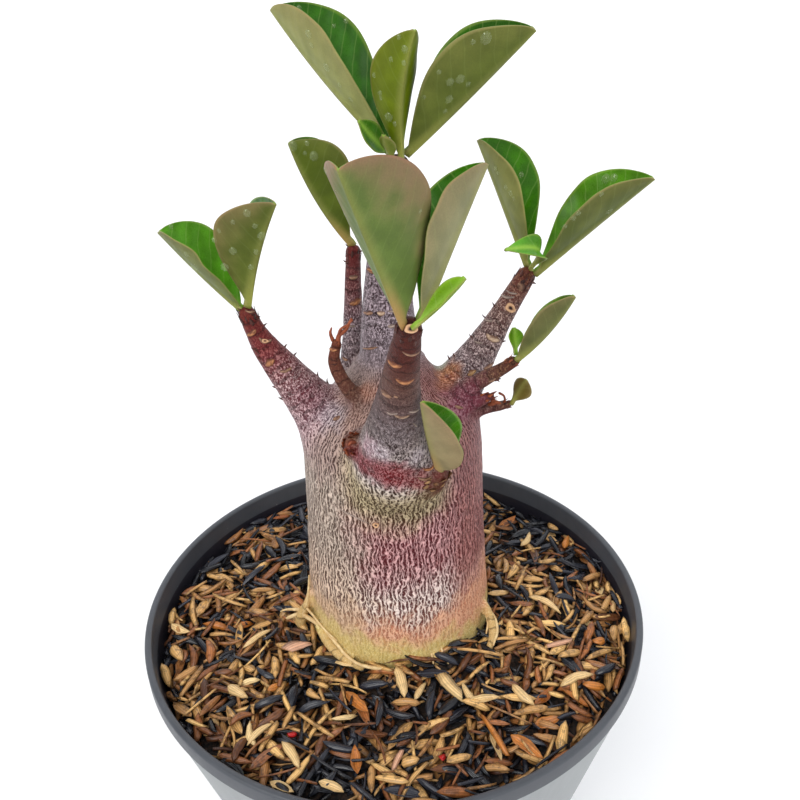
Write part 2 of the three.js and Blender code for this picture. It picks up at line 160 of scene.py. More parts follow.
# How softly each limb flows into the others, in millimetres
BLENDS = {
    "caudex": 0, "centre": 3, "left": 2.5, "right": 2.5, "back": 2, "front": 3.5, "low": 3, "twig": 2,
    "stub": 1.2, "dry": 1.6, "front_bud": 2, "old_bud": 1.6, "yellow_root": 0.5, "left_knot": 0.8,
    "right_root": 0.6, "front_flap": 0.6,
}
BODY_FLOOR = 100
BODY_VOXEL = 0.62
COARSE_VOXEL = 0.9
# A distance that stands for far away
FAR = 1000
# How far off a limb is still measured, for the shape and for the colours
NEAR = 8
COLOUR_NEAR = 6
# The longest step that takes a point to the skin
LONGEST_STEP = 0.8
# How fast a limb's say in the colours fades away from its skin
SHARE_FADE = 1.2
# Where pixels beside the plant look for it: nearest and farthest distance from the camera
LOOK_FROM = 130
LOOK_TO = 260


def srgb(*colour):
    """A colour as seen on a screen, from 0 to 255, as the linear colour that shaders take."""
    return tuple(c / 255 / 12.92 if c <= 10 else ((c / 255 + 0.055) / 1.055) ** 2.4 for c in colour)


# Numbers at random, and smooth noise


def hashed(cells, seed):
    """A number from 0 to 1 for each whole-number cell."""
    word = (cells * (374761393, 668265263, 1103515245)).sum(-1) + seed * 362437
    word = word & 0xFFFFFFFF
    word = ((word ^ (word >> 13)) * 1274126177) & 0xFFFFFFFF
    word = ((word ^ (word >> 15)) * 2246822519) & 0xFFFFFFFF
    return (word ^ (word >> 16)) / 2**32


def noise(points, seed):
    """Smooth noise of about -1 to 1, with a feature every unit or so."""
    points = np.asarray(points, float)
    base = np.floor(points).astype(np.int64)
    part = points - base
    fade = part * part * part * (part * (part * 6 - 15) + 10)
    total = np.zeros(len(points))
    for corner in np.ndindex(2, 2, 2):
        corner = np.array(corner)
        cell = base + corner
        direction = np.stack([hashed(cell, 3 * seed + axis) for axis in range(3)], 1) * 2 - 1
        weight = np.prod(np.where(corner == 1, fade, 1 - fade), 1)
        total += weight * ((part - corner) * direction).sum(1)
    return total * 1.7


def fractal(points, seed, octaves=3, gain=0.5):
    """Noise with finer noise added to it."""
    total, strength = 0, 1
    for octave in range(octaves):
        total = total + strength * noise(points * 2**octave, seed + 17 * octave)
        strength *= gain
    return total


def smooth_step(low, high, value):
    """0 below low, 1 above high, and a smooth rise between them."""
    share = np.clip((value - low) / (high - low), 0, 1)
    return share * share * (3 - 2 * share)


def mixed(first, second, share):
    """From the first to the second, row by row."""
    share = np.asarray(share)[..., None] if np.ndim(share) else share
    return np.asarray(first) * (1 - share) + np.asarray(second) * share


def profile(share, stops):
    """Values along a line of (place, value) stops."""
    places = [place for place, value in stops]
    values = np.array([value for place, value in stops], float)
    if values.ndim == 1:
        return np.interp(share, places, values)
    return np.stack([np.interp(share, places, values[:, k]) for k in range(values.shape[1])], -1)


def unit(vectors):
    """A vector, or each row of vectors, at a length of 1."""
    vectors = np.asarray(vectors, float)
    return vectors / np.maximum(np.linalg.norm(vectors, axis=-1, keepdims=True), 1e-9)


def circle(sides):
    """Cosines and sines of evenly spread angles, one to a row."""
    angles = np.linspace(0, 2 * math.pi, sides, endpoint=False)[:, None]
    return np.cos(angles), np.sin(angles)


def carried(ways):
    """A direction across each way, carried along from one to the next without twist."""
    side = np.cross(ways[0], (0.3, 1, 0.1))
    sides = []
    for ahead in ways:
        side = unit(side - ahead * (side @ ahead))
        sides.append(side)
    return np.array(sides)


# Meshes


def strip_faces(rows, across, ends=True):
    """Quads between closed rows of points, with both ends filled or left open."""
    faces = []
    for row in range(rows - 1):
        for k in range(across):
            low, after = row * across, (k + 1) % across
            faces.append((low + k, low + after, low + across + after, low + across + k))
    if ends:
        faces.append(tuple(range(across))[::-1])
        faces.append(tuple(range((rows - 1) * across, rows * across)))
    return faces


def make_mesh(name, points, faces, materials, material_ids=None):
    """A smooth mesh object from points in millimetres."""
    mesh = bpy.data.meshes.new(name)
    faces = faces.tolist() if isinstance(faces, np.ndarray) else faces
    mesh.from_pydata((np.asarray(points, float) * MM).tolist(), [], faces)
    mesh.validate()
    mesh.polygons.foreach_set("use_smooth", np.ones(len(mesh.polygons), bool))
    if material_ids is not None:
        mesh.polygons.foreach_set("material_index", np.asarray(material_ids, np.int32))
    for material in materials:
        mesh.materials.append(material)
    piece = bpy.data.objects.new(name, mesh)
    bpy.context.scene.collection.objects.link(piece)
    return piece


def paint(piece, name, values):
    """Stores up to four numbers at each point, under a name that the shaders read."""
    values = np.asarray(values, float)
    layer = piece.data.attributes.new(name, "FLOAT_COLOR", "POINT")
    full = np.ones((len(values), 4))
    full[:, : values.shape[1]] = values
    layer.data.foreach_set("color", full.ravel())


def place(piece, slot, *nodes):
    """The piece rides on the object and may stand for CAD nodes. The slot is not used."""
    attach(piece, "root")
    if nodes:
        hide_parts(*nodes)


class Gathered:
    """Small parts gathered into one mesh, with a painted value at each point."""

    def __init__(self):
        self.points, self.faces, self.values, self.count = [], [], [], 0

    def add(self, points, faces, values=()):
        self.points.append(np.asarray(points, float))
        self.faces += [tuple(i + self.count for i in face) for face in faces]
        self.values.append(np.asarray(values, float))
        self.count += len(points)

    def make(self, name, layer, material, slot):
        piece = make_mesh(name, np.concatenate(self.points), self.faces, [material])
        paint(piece, layer, np.concatenate(self.values))
        place(piece, slot)


# Shaders


class Shader:
    """A node material under construction, with one Principled BSDF."""

    def __init__(self, name, roughness=0.5, **constants):
        self.material = bpy.data.materials.new(name)
        self.material.use_nodes = True
        self.tree = self.material.node_tree
        self.bsdf = self.tree.nodes["Principled BSDF"]
        self.bsdf.inputs["Roughness"].default_value = roughness
        for socket, value in constants.items():
            self.bsdf.inputs[socket.replace("_", " ")].default_value = value

    def add(self, kind, inputs, output=0, **settings):
        node = self.tree.nodes.new(kind)
        for name, value in settings.items():
            setattr(node, name, value)
        for name, value in inputs.items():
            self.feed(node.inputs[name], value)
        return node.outputs[output]

    def feed(self, socket, value):
        if isinstance(value, bpy.types.NodeSocket):
            self.tree.links.new(value, socket)
        elif socket.type == "RGBA":
            socket.default_value = (*value[:3], 1)
        else:
            socket.default_value = value

    def place(self, stretch=(1, 1, 1)):
        """Object coordinates in millimetres, stretched."""
        start = self.add("ShaderNodeTexCoord", {}, "Object")
        return self.add("ShaderNodeMapping", {"Vector": start, "Scale": [s / MM for s in stretch]})

    def noise(self, vector, scale, detail=2, rough=0.5, distortion=0.0):
        inputs = {"Vector": vector, "Scale": scale, "Detail": detail, "Roughness": rough}
        return self.add("ShaderNodeTexNoise", {**inputs, "Distortion": distortion}, "Fac")

    def painted(self, name, output="Color"):
        return self.add("ShaderNodeAttribute", {}, output, attribute_name=name)

    def split(self, vector):
        node = self.tree.nodes.new("ShaderNodeSeparateXYZ")
        self.tree.links.new(vector, node.inputs[0])
        return node.outputs

    def vector(self, operation, first, second):
        return self.add("ShaderNodeVectorMath", {0: first, 1: second}, operation=operation)

    def math(self, operation, *values):
        return self.add("ShaderNodeMath", dict(enumerate(values)), operation=operation)

    def plus(self, first, second):
        return self.math("ADD", first, second)

    def minus(self, first, second):
        return self.math("SUBTRACT", first, second)

    def times(self, first, second):
        return self.math("MULTIPLY", first, second)

    def range(self, value, low, high, start=0.0, end=1.0):
        inputs = {"Value": value, "From Min": low, "From Max": high, "To Min": start, "To Max": end}
        return self.add("ShaderNodeMapRange", inputs)

    def mix(self, share, first, second, blend="MIX"):
        node = self.tree.nodes.new("ShaderNodeMix")
        node.data_type = "RGBA"
        node.blend_type = blend
        for number, value in ((0, share), (6, first), (7, second)):
            self.feed(node.inputs[number], value)
        return node.outputs[2]

    def shade(self, colour, low, high, value):
        """The colour made darker or lighter by a value from 0 to 1."""
        factor = self.range(value, 0.25, 0.75, low, high)
        grey = self.add("ShaderNodeCombineXYZ", {0: factor, 1: factor, 2: factor})
        return self.mix(1.0, colour, grey, "MULTIPLY")

    def bump(self, height, millimetres, strength=1.0):
        inputs = {"Height": height, "Distance": millimetres * MM, "Strength": strength}
        return self.add("ShaderNodeBump", inputs)

    def finish(self, colour, normal=None, roughness=None):
        for socket, value in (("Base Color", colour), ("Normal", normal), ("Roughness", roughness)):
            if value is not None:
                self.feed(self.bsdf.inputs[socket], value)
        return self.material


# The room: camera, lights and floor


def make_camera():
    data = bpy.data.cameras.new("camera")
    data.lens = LENS
    data.sensor_width = SENSOR
    data.clip_start = NEAREST_SEEN
    camera = bpy.data.objects.new("camera", data)
    bpy.context.scene.collection.objects.link(camera)
    camera.matrix_world = Matrix.Translation([c * MM for c in CAMERA_PLACE]) @ camera_turn().to_4x4()
    bpy.context.scene.camera = camera


def camera_turn():
    return Matrix.Rotation(math.pi / 2 - CAMERA_DOWN, 3, "X") @ Matrix.Rotation(CAMERA_ROLL, 3, "Z")


def make_lights():
    """Soft distant lights and a pale sky."""
    for name, (towards, strength, softness, colour) in LIGHTS.items():
        data = bpy.data.lights.new(name, "SUN")
        data.energy = strength
        data.angle = math.radians(softness)
        data.color = colour
        light = bpy.data.objects.new(name, data)
        bpy.context.scene.collection.objects.link(light)
        light.matrix_world = Vector(towards).to_track_quat("Z", "Y").to_matrix().to_4x4()
    world = bpy.data.worlds.new("studio")
    bpy.context.scene.world = world
    world.use_nodes = True
    background = world.node_tree.nodes["Background"]
    background.inputs["Color"].default_value = SKY_COLOUR
    background.inputs["Strength"].default_value = SKY_STRENGTH
    view = bpy.context.scene.view_settings
    view.view_transform = "Standard"
    view.look = "None"


def make_floor():
    """A pale floor that sweeps up far behind the pot."""
    look = Shader("floor_pale", roughness=0.9, Specular_IOR_Level=0.2)
    mottle = look.noise(look.place(), 0.02, 3)
    material = look.finish(look.shade(srgb(245, 245, 246), 0.985, 1.0, mottle))
    sweep = np.linspace(0, math.pi / 2, 12)[1:]
    line = [(FLOOR_FRONT, 0), (FLOOR_BACK, 0)]
    line += [(FLOOR_BACK * (1 + math.sin(a)), FLOOR_BACK * (1 - math.cos(a))) for a in sweep]
    line += [(2 * FLOOR_BACK, FLOOR_TOP)]
    points = [(x, y, z) for y, z in line for x in (-FLOOR_HALF, FLOOR_HALF)]
    faces = [(2 * k, 2 * k + 1, 2 * k + 3, 2 * k + 2) for k in range(len(line) - 1)]
    make_mesh("floor", points, faces, [material])


# Pot


def outer_radius(z):
    return FOOT_RADIUS + (POT_RADIUS - LIP_STEP - FOOT_RADIUS) * z / (POT_HEIGHT - LIP_HEIGHT)


def inner_radius(z):
    return min(outer_radius(z) - WALL, POT_RADIUS - LIP_WIDTH)


def rounded(corners, radius, steps=4):
    """A line through the corners, with each inner corner rounded off by a short arc."""
    corners = [np.array(c, float) for c in corners]
    line = [corners[0]]
    for before, corner, after in zip(corners, corners[1:], corners[2:]):
        reach = min(radius, np.linalg.norm(before - corner) / 2.2, np.linalg.norm(after - corner) / 2.2)
        start = corner + reach * (before - corner) / np.linalg.norm(before - corner)
        end = corner + reach * (after - corner) / np.linalg.norm(after - corner)
        for t in np.linspace(0, 1, steps):
            line.append((1 - t) ** 2 * start + 2 * t * (1 - t) * corner + t**2 * end)
    line.append(corners[-1])
    return line


# Looks of the outside, the lip and the inside: colour, spots' colour, roughness and strength of the spots
POT_LOOKS = {
    "pot_wall_grey": ((152, 156, 157), (200, 202, 202), 0.5, 0.25),
    "pot_lip_slate": ((70, 73, 79), (150, 156, 160), 0.42, 0.35),
    "pot_inside_black": ((30, 29, 38), (80, 82, 90), 0.45, 0.3),
}


def pot_material(name, colour, spot_colour, roughness, spot_strength):
    """Moulded plastic with fine scuffs, pale water spots and a soft mottle."""
    look = Shader(name, roughness=roughness, Specular_IOR_Level=0.45)
    here = look.place()
    mottle = look.noise(here, 0.09, 4, 0.6)
    base = look.shade(srgb(*colour), 0.88, 1.1, mottle)
    streaks = look.noise(look.place((1, 1, 0.12)), 0.5, 3, 0.6)
    base = look.shade(base, 0.95, 1.05, streaks)
    spots = look.add("ShaderNodeTexVoronoi", {"Vector": here, "Scale": 0.35}, "Distance")
    spots = look.range(spots, 0.12, 0.05)
    chance = look.range(look.noise(here, 0.7, 1), 0.52, 0.66)
    base = look.mix(look.times(look.times(spots, chance), spot_strength), base, srgb(*spot_colour))
    grain = look.noise(here, 3.0, 3, 0.6)
    gloss = look.range(mottle, 0.3, 0.7, roughness - 0.06, roughness + 0.08)
    return look.finish(base, look.bump(grain, 0.03, 0.5), gloss)


def make_pot():
    lip_bottom = POT_HEIGHT - LIP_HEIGHT
    under_lip = (inner_radius(lip_bottom - 1), lip_bottom - 1)
    outside = [
        (0, FOOT_RECESS), (FOOT_RADIUS - FOOT_WIDTH, FOOT_RECESS), (FOOT_RADIUS - FOOT_WIDTH, 0),
        (FOOT_RADIUS, 0), (outer_radius(lip_bottom), lip_bottom),
    ]
    lip = [
        outside[-1], (POT_RADIUS, lip_bottom + 0.2), (POT_RADIUS, POT_HEIGHT),
        (POT_RADIUS - LIP_WIDTH, POT_HEIGHT), under_lip,
    ]
    inside = [
        under_lip, (inner_radius(70), 70), (inner_radius(FLOOR_THICKNESS), FLOOR_THICKNESS),
        (0, FLOOR_THICKNESS),
    ]
    parts = (rounded(outside, WALL_ROUND), rounded(lip, LIP_ROUND, 6), rounded(inside, INSIDE_ROUND))
    line, looks = [], []
    for number, part in enumerate(parts):
        line += part[min(number, 1) :]
        looks += [number] * (len(part) - 1)
    across, ahead = circle(POT_SIDES)
    rows = [np.column_stack([r * across, r * ahead, np.full(POT_SIDES, z)]) for r, z in line[1:-1]]
    points = np.concatenate([*rows, [(0, 0, line[0][1]), (0, 0, line[-1][1])]])
    faces = strip_faces(len(rows), POT_SIDES, False)
    ids = np.repeat(looks[1 : len(rows)], POT_SIDES).tolist()
    top = (len(rows) - 1) * POT_SIDES
    for side in range(POT_SIDES):
        after = (side + 1) % POT_SIDES
        faces += [(len(points) - 2, after, side), (len(points) - 1, top + side, top + after)]
        ids += [0, len(parts) - 1]
    materials = [pot_material(name, *look) for name, look in POT_LOOKS.items()]
    place(make_mesh("pot_shell", points, faces, materials, ids), "pot", "pot")


# Bed of husks


def bed_height(x, y):
    """The top of the husks: sloping to the front, banked up at the stem's front and lower along the wall."""
    radius = np.hypot(x, y)
    wall = POT_RADIUS - LIP_WIDTH
    reach = np.maximum(0, (radius - STEM_RADIUS) / (wall - STEM_RADIUS))
    height = POT_HEIGHT - BED_DROP - BED_FALL * reach - BED_SLOPE * (y + STEM_RADIUS)
    from_stem = np.maximum(0, np.hypot(x - STEM_X, y) - STEM_RADIUS)
    turn = np.degrees(np.arctan2(x - STEM_X, -y))
    bank = np.exp(-((from_stem / BANK_WIDTH) ** 2)) * smooth_step(-12, 0, turn) * smooth_step(62, 40, turn)
    return height + BANK_HEIGHT * bank - WALL_DIP * smooth_step(WALL_DIP_WIDTH, 0, wall - radius)


# The height map that husks are laid on: its cells, its reach and how deep under the bed's top it starts
HEAP_CELL = 0.5
HEAP_REACH = 73
HEAP_DEPTH = 3.4
# Husks: the steepest rise, the gap under them, how far over the bed's top they may rest, and the random seed
STEEPEST = 0.42
SEAT = 0.15
HIGHEST = 0.6
HUSK_SEED = 11
# Kinds of husks: share of all, shortest and longest, narrowest and widest, thickness and form
HUSK_KINDS = {
    "charred_husk": (0.12, (7.5, 11), (2.1, 3.2), 0.8, "husk"),
    "charred_shard": (0.28, (3.5, 11), (0.8, 2.5), 0.6, "shard"),
    "brown_husk": (0.06, (7.5, 11), (2, 3), 0.8, "husk"),
    "brown_shard": (0.16, (4, 12), (0.7, 2.4), 0.5, "shard"),
    "golden_husk": (0.12, (7.5, 11), (2, 3.1), 0.8, "husk"),
    "golden_shard": (0.25, (4.5, 13), (0.7, 2.3), 0.5, "shard"),
    "cream_husk": (0.012, (7, 9), (1.8, 2.6), 0.8, "husk"),
    "orange_husk": (0.008, (7, 9), (2.2, 3), 0.8, "husk"),
}
# How many are tried, and the length below which one turns along the wall
HUSK_COUNT = 5000
SHORT_HUSK = 8
# Width of the dark and golden patches, and the share of husks that they change
PATCH_SIZE = 15
CHANGED_SHARE = 0.55
# How far from the middle husks may lie, with the wall behind them
HUSK_REACH = 71.5
WALL_CLEARANCE = 4
# Dark fines under the husks: the height where they meet the wall, and where they end below
FINES_LEVEL = 101
FINES_BOTTOM = 98


class Heap:
    """A height map of the bed that husks are laid on one by one."""

    def __init__(self):
        size = int(2 * HEAP_REACH / HEAP_CELL) + 1
        axis = np.linspace(-HEAP_REACH, HEAP_REACH, size)
        self.x, self.y = np.meshgrid(axis, axis, indexing="ij")
        self.height = bed_height(self.x, self.y) - HEAP_DEPTH

    def index(self, value):
        return np.clip(((value + HEAP_REACH) / HEAP_CELL).round().astype(int), 0, len(self.height) - 1)

    def lay(self, x, y, angle, length, width, thickness, random, highest):
        """Height and tilt of a piece that comes to rest, after which the heap is higher there."""
        reach = length / 2 + width
        rows = slice(*(self.index(np.array([x - reach, x + reach])) + [0, 1]))
        columns = slice(*(self.index(np.array([y - reach, y + reach])) + [0, 1]))
        across_x, across_y = self.x[rows, columns] - x, self.y[rows, columns] - y
        along = across_x * math.cos(angle) + across_y * math.sin(angle)
        side = -across_x * math.sin(angle) + across_y * math.cos(angle)
        under = (np.abs(along) < length / 2) & (np.abs(side) < width / 2)
        patch = self.height[rows, columns]
        rear, fore = under & (along < -length / 6), under & (along > length / 6)
        if under.sum() < 4 or not rear.any() or not fore.any():
            return None
        rise = (np.percentile(patch[fore], 80) - np.percentile(patch[rear], 80)) / (length * 2 / 3)
        rise = float(np.clip(rise + random.normal(0, 0.05), -STEEPEST, STEEPEST))
        rest = float(np.percentile(patch[under] - rise * along[under], 86))
        if rest > highest:
            return None
        top = rest + rise * along + thickness
        patch[under] = np.maximum(patch[under], top[under])
        return rest, rise


def husk_form(length, width, random):
    """One rice husk: a pointed boat with a doubled skin, cupped side down or up."""
    rings = 7
    wobble = random.uniform(0.82, 1.12, (2, rings))
    blunt = random.uniform(0.45, 0.8)
    drift = random.normal(0, 0.05) * length
    bow = random.uniform(-0.05, 0.09) * length
    cup = random.uniform(0.28, 0.42) * width * random.choice([1, 1, 1, -1])
    skin = random.uniform(0.18, 0.28)
    twist = random.normal(0, 0.12)
    spread = np.linspace(-1, 1, 5)
    loop = [(s, 0) for s in spread[::-1]] + [(s, skin) for s in spread]
    points, tone = [], []
    for ring in range(rings):
        t = ring / (rings - 1)
        half = width / 2 * max(0.07, math.sin(math.pi * t**0.85) ** blunt)
        turn = twist * (t - 0.5)
        for s, depth in loop:
            lift = cup * (1 - s * s) * (half / (width / 2)) - bow * (2 * t - 1) ** 2
            y = half * s * wobble[int(s > 0), ring] + drift * 4 * (t - 0.5) ** 2
            z = lift - depth
            y, z = y * math.cos(turn) - z * math.sin(turn), y * math.sin(turn) + z * math.cos(turn)
            points.append((length * (t - 0.5), y, z))
            tone.append((t, s))
    return np.array(points), strip_faces(rings, len(loop)), np.array(tone)


def shard_form(length, width, random):
    """One broken sliver: a thin bent bar with uneven sides and slanting ends."""
    rings = 5
    bend = random.normal(0, 0.05) * length
    curl = random.normal(0, 0.03) * length
    skin = random.uniform(0.25, 0.5)
    slant = random.uniform(-0.8, 0.8, 2)
    points, tone = [], []
    for ring in range(rings):
        t = ring / (rings - 1)
        half = width / 2 * (0.35 + 0.65 * math.sin(math.pi * min(1, max(0, 0.12 + 0.8 * t))) ** 0.7)
        half *= random.uniform(0.8, 1.1)
        for s, z in ((-1, 0), (-0.1, skin), (1, 0.1 * skin), (0.1, -0.4 * skin)):
            x = length * (t - 0.5) + s * width * 0.5 * (slant[0] * (1 - t) + slant[1] * t)
            y = half * s + bend * (4 * t * (1 - t) - 0.5)
            points.append((x, y, z + curl * (4 * t * (1 - t) - 0.5)))
            tone.append((t, s))
    return np.array(points), strip_faces(rings, 4), np.array(tone)


def set_down(form, x, y, angle, rest, rise, roll):
    """The form turned, tilted and moved to its resting place."""
    tilt = Matrix.Rotation(-math.atan(rise), 3, "Y") @ Matrix.Rotation(roll, 3, "X")
    return form @ np.array(Matrix.Rotation(angle, 3, "Z") @ tilt).T + (x, y, rest)


def husk_material(name, dark, light, roughness, grain_depth, burnt):
    """Dry husk: long ribs, a mottle from chip to chip with painted shade on chips lying deep in the heap,
    scorched patches and darker edges.
    """
    look = Shader(name, roughness=roughness, Specular_IOR_Level=0.5)
    # The first painted number is each chip's random tone, darkened as painted shade where the chip lies deep
    # in the heap.
    share, along, side = look.split(look.painted("tone_and_shade"))
    here = look.place()
    mottle = look.noise(here, 0.9, 3, 0.6)
    base = look.mix(look.plus(look.times(share, 0.75), look.times(mottle, 0.25)), srgb(*dark), srgb(*light))
    ribs = look.range(look.math("SINE", look.times(side, 15.0)), -1, 1)
    base = look.shade(base, 0.8, 1.14, ribs)
    scorch = look.range(look.noise(look.vector("ADD", here, (7, 3, 5)), 0.42, 4, 0.7), 0.5, 0.6)
    rim = look.range(look.math("ABSOLUTE", side), 0.55, 1.0)
    end = look.range(look.math("ABSOLUTE", look.minus(along, 0.5)), 0.34, 0.5)
    worn = look.math("MAXIMUM", scorch, look.times(look.math("MAXIMUM", rim, end), 0.7))
    base = look.mix(look.times(worn, burnt), base, srgb(44, 20, 12))
    fine = look.noise(here, 4.0, 3, 0.6)
    base = look.shade(base, 0.8, 1.15, fine)
    height = look.plus(look.times(ribs, 0.5), look.times(fine, 0.5))
    gloss = look.range(mottle, 0.3, 0.7, roughness - 0.12, roughness + 0.1)
    return look.finish(base, look.bump(height, grain_depth, 0.8), gloss)


# Looks of the husks: dark colour, light colour, roughness, depth of the grain and share of scorched skin
HUSK_LOOKS = {
    "charred": ((6, 6, 9), (48, 50, 60), 0.2, 0.12, 0.0),
    "brown": ((44, 20, 12), (180, 112, 62), 0.36, 0.12, 0.55),
    "golden": ((132, 70, 26), (255, 206, 130), 0.38, 0.12, 0.6),
    "orange": ((130, 60, 14), (236, 152, 66), 0.4, 0.1, 0.35),
    "cream": ((186, 132, 68), (254, 224, 164), 0.42, 0.08, 0.2),
    "pink": ((170, 106, 76), (240, 192, 158), 0.5, 0.08, 0.15),
    "red": ((120, 8, 10), (214, 34, 34), 0.4, 0.05, 0.0),
}
# Pieces on top that stand out: pixel x and y, turn in the picture, length, width, form and kind
CHOSEN_HUSKS = [
    (229, 603, -13, 13, 2.0, "shard", "golden"), (287, 602, 10, 9.5, 2.4, "husk", "brown"),
    (178, 657, -63, 11, 3.4, "husk", "golden"), (174, 636, -7, 6.6, 2.8, "husk", "cream"),
    (258, 640, 34, 10.6, 2.0, "husk", "cream"), (298, 651, 20, 6.6, 5.2, "shard", "pink"),
    (237, 696, -32, 8, 3.0, "husk", "cream"), (312, 697, -57, 7.6, 2.5, "husk", "golden"),
    (402, 686, -75, 9.3, 3.0, "husk", "cream"), (357, 705, -43, 9.3, 3.0, "husk", "orange"),
    (293, 759, -56, 9, 2.8, "husk", "cream"), (259, 734, 38, 8.6, 2.2, "husk", "cream"),
    (522, 698, -44, 8.5, 3.0, "husk", "cream"), (575, 682, 15, 10.2, 2.8, "husk", "cream"),
    (484, 703, 3, 8, 2.4, "husk", "cream"), (451, 690, -45, 8.8, 3.8, "shard", "cream"),
    (546, 606, -27, 11.4, 2.5, "husk", "cream"), (559, 648, 17, 8.6, 2.0, "shard", "pink"),
    (571, 657, 23, 8.8, 2.8, "husk", "golden"), (599, 645, 30, 4.8, 3.0, "husk", "orange"),
    (532, 755, -36, 9.6, 3.4, "husk", "orange"), (595, 689, 5, 7.4, 3.0, "husk", "orange"),
    (241, 719, 24, 7, 2.4, "husk", "brown"), (316, 728, -36, 13, 1.6, "shard", "golden"),
    (334, 684, -21, 10.8, 1.6, "shard", "golden"), (495, 739, -56, 12.5, 1.8, "shard", "orange"),
    (282, 789, -22, 6.8, 2.2, "husk", "cream"), (332, 789, -16, 6.6, 2.4, "husk", "cream"),
    (420, 690, 62, 7.2, 2.0, "husk", "cream"), (292, 735, 20, 2.2, 1.8, "shard", "red"),
    (442, 759, 70, 2.2, 2.0, "shard", "red"), (459, 761, 20, 7, 2.8, "husk", "golden"),
    (410, 762, 0, 5, 3.2, "husk", "golden"), (397, 760, 60, 5.4, 1.8, "shard", "pink"),
    (565, 602, 0, 7, 2.8, "husk", "charred"), (583, 540, 70, 7, 2.6, "husk", "orange"),
    (527, 543, 50, 7.5, 2.2, "husk", "cream"), (548, 565, 20, 8, 2.2, "husk", "golden"),
    (520, 583, 60, 9, 1.6, "shard", "golden"), (215, 580, -20, 9, 2.0, "husk", "golden"),
    (238, 570, -50, 11, 1.4, "shard", "golden"), (203, 610, 62, 8, 3.2, "husk", "golden"),
    (380, 715, 80, 9, 2.0, "husk", "charred"), (268, 705, 18, 9, 2.8, "husk", "charred"),
    (430, 705, 75, 8, 2.4, "husk", "charred"), (610, 675, 20, 8, 2.6, "husk", "charred"),
    (510, 640, 4, 10, 1.8, "shard", "golden"), (540, 628, -60, 8, 2.0, "husk", "brown"),
    (480, 658, -15, 13, 1.5, "shard", "golden"), (352, 665, 4, 9, 2.0, "shard", "cream"),
]


def spread_place(random):
    """A spot on the bed, evenly spread between the stem and the wall."""
    while True:
        radius = math.sqrt(random.uniform(STEM_RADIUS**2, HUSK_REACH**2))
        angle = random.uniform(0, 2 * math.pi)
        x, y = radius * math.cos(angle), radius * math.sin(angle)
        if math.hypot(x - STEM_X, y) > STEM_RADIUS - 0.6:
            return x, y


def fits(x, y, angle, length):
    """True if both ends are inside the pot and outside the stem."""
    for end in (-0.5, 0.5):
        end_x = x + end * length * math.cos(angle)
        end_y = y + end * length * math.sin(angle)
        if math.hypot(end_x, end_y) > HUSK_REACH:
            return False
        if math.hypot(end_x - STEM_X, end_y) < STEM_RADIUS - 0.9:
            return False
    return True


def make_bed_floor():
    """The dark fines under the husks: a closed sheet, rough above and flat below."""
    rings, sides = 60, 300
    across, ahead = circle(sides)
    radii = np.linspace(inner_radius(FINES_LEVEL) - 0.3, STEM_RADIUS - 3, rings)
    flat = np.stack([np.column_stack([radius * across, radius * ahead]) for radius in radii])
    x, y = flat.reshape(-1, 2).T
    rough = fractal(np.column_stack([x, y, 0 * x]) / 2.2, 5, 3, 0.6)
    top = np.column_stack([x, y, bed_height(x, y) - HEAP_DEPTH + 0.9 * rough])
    below = 0.985 * flat[::-1].reshape(-1, 2)
    points = np.concatenate([top, np.column_stack([below, np.full(len(below), FINES_BOTTOM)])])
    faces = [[i % len(points) for i in face] for face in strip_faces(2 * rings + 1, sides, False)]
    look = Shader("bed_fines", roughness=0.62, Specular_IOR_Level=0.4)
    here = look.place()
    crumbs = look.noise(here, 0.9, 4, 0.65)
    base = look.mix(look.range(crumbs, 0.42, 0.66), srgb(14, 13, 14), srgb(66, 48, 36))
    material = look.finish(base, look.bump(look.noise(here, 2.0, 4, 0.6), 0.5, 0.8))
    place(make_mesh("bed_fines", points, faces, [material]), "husks", "husk_bed")


def lay_husk(piles, heap, random, x, y, angle, length, width, thickness, form, kind, on_top=False):
    """Lays one piece on the heap and adds it to the pile of its kind."""
    highest = math.inf if on_top else bed_height(x, y) + HIGHEST
    laid = heap.lay(x, y, angle, length, width, thickness, random, highest)
    if laid is None:
        return
    rest, rise = laid
    points, faces, tone = (husk_form if form == "husk" else shard_form)(length, width, random)
    roll = random.normal(0, 0.1 if on_top else 0.2)
    points = set_down(points, x, y, angle, rest + SEAT, rise, roll)
    # Husks lying below the bed's top get a darker tone: painted shade from the husks above them, over a
    # random tone for each husk.
    depth = smooth_step(-3.0, 0.4, rest - bed_height(x, y))
    shade = 0.62 if on_top else np.clip(random.normal(0.55, 0.34), 0, 1.1) * (0.3 + 0.7 * depth)
    piles[kind].add(points, faces, np.column_stack([np.full(len(points), shade), tone]))


def bed_place(x, y):
    """The place on the bed that a pixel of the photograph shows."""
    ray = pixel_rays([(x, y)])[0]
    spot = np.array(CAMERA_PLACE)
    for _ in range(6):
        spot = spot + (bed_height(spot[0], spot[1]) - spot[2]) / ray[2] * ray
    return spot


def charred_share(x, y):
    """How much more charred the bed is at a spot: more in front and at the back, less on the sides."""
    front = math.exp(-(((x - 2) / 16) ** 2) - ((y + 45) / 14) ** 2)
    right = smooth_step(20, 50, x) * smooth_step(20, -10, y)
    left = smooth_step(-25, -50, x) * smooth_step(20, -10, y)
    return 0.5 * front + 0.5 * smooth_step(5, 45, y) - 0.42 * right - 0.25 * left - 0.05


def husk_kind(random, name, form, x, y):
    """The kind of a fallen husk, which the bed's dark and golden patches may change."""
    kind = name if name.startswith("charred") else name.split("_")[0]
    patch = noise([(x / PATCH_SIZE, y / PATCH_SIZE, 0.5)], 63)[0] + charred_share(x, y)
    changed = random.uniform() < CHANGED_SHARE
    if changed and patch > 0.22 and kind in ("golden", "brown"):
        return f"charred_{form}"
    if changed and patch < -0.12 and kind.startswith("charred"):
        return "golden"
    return kind


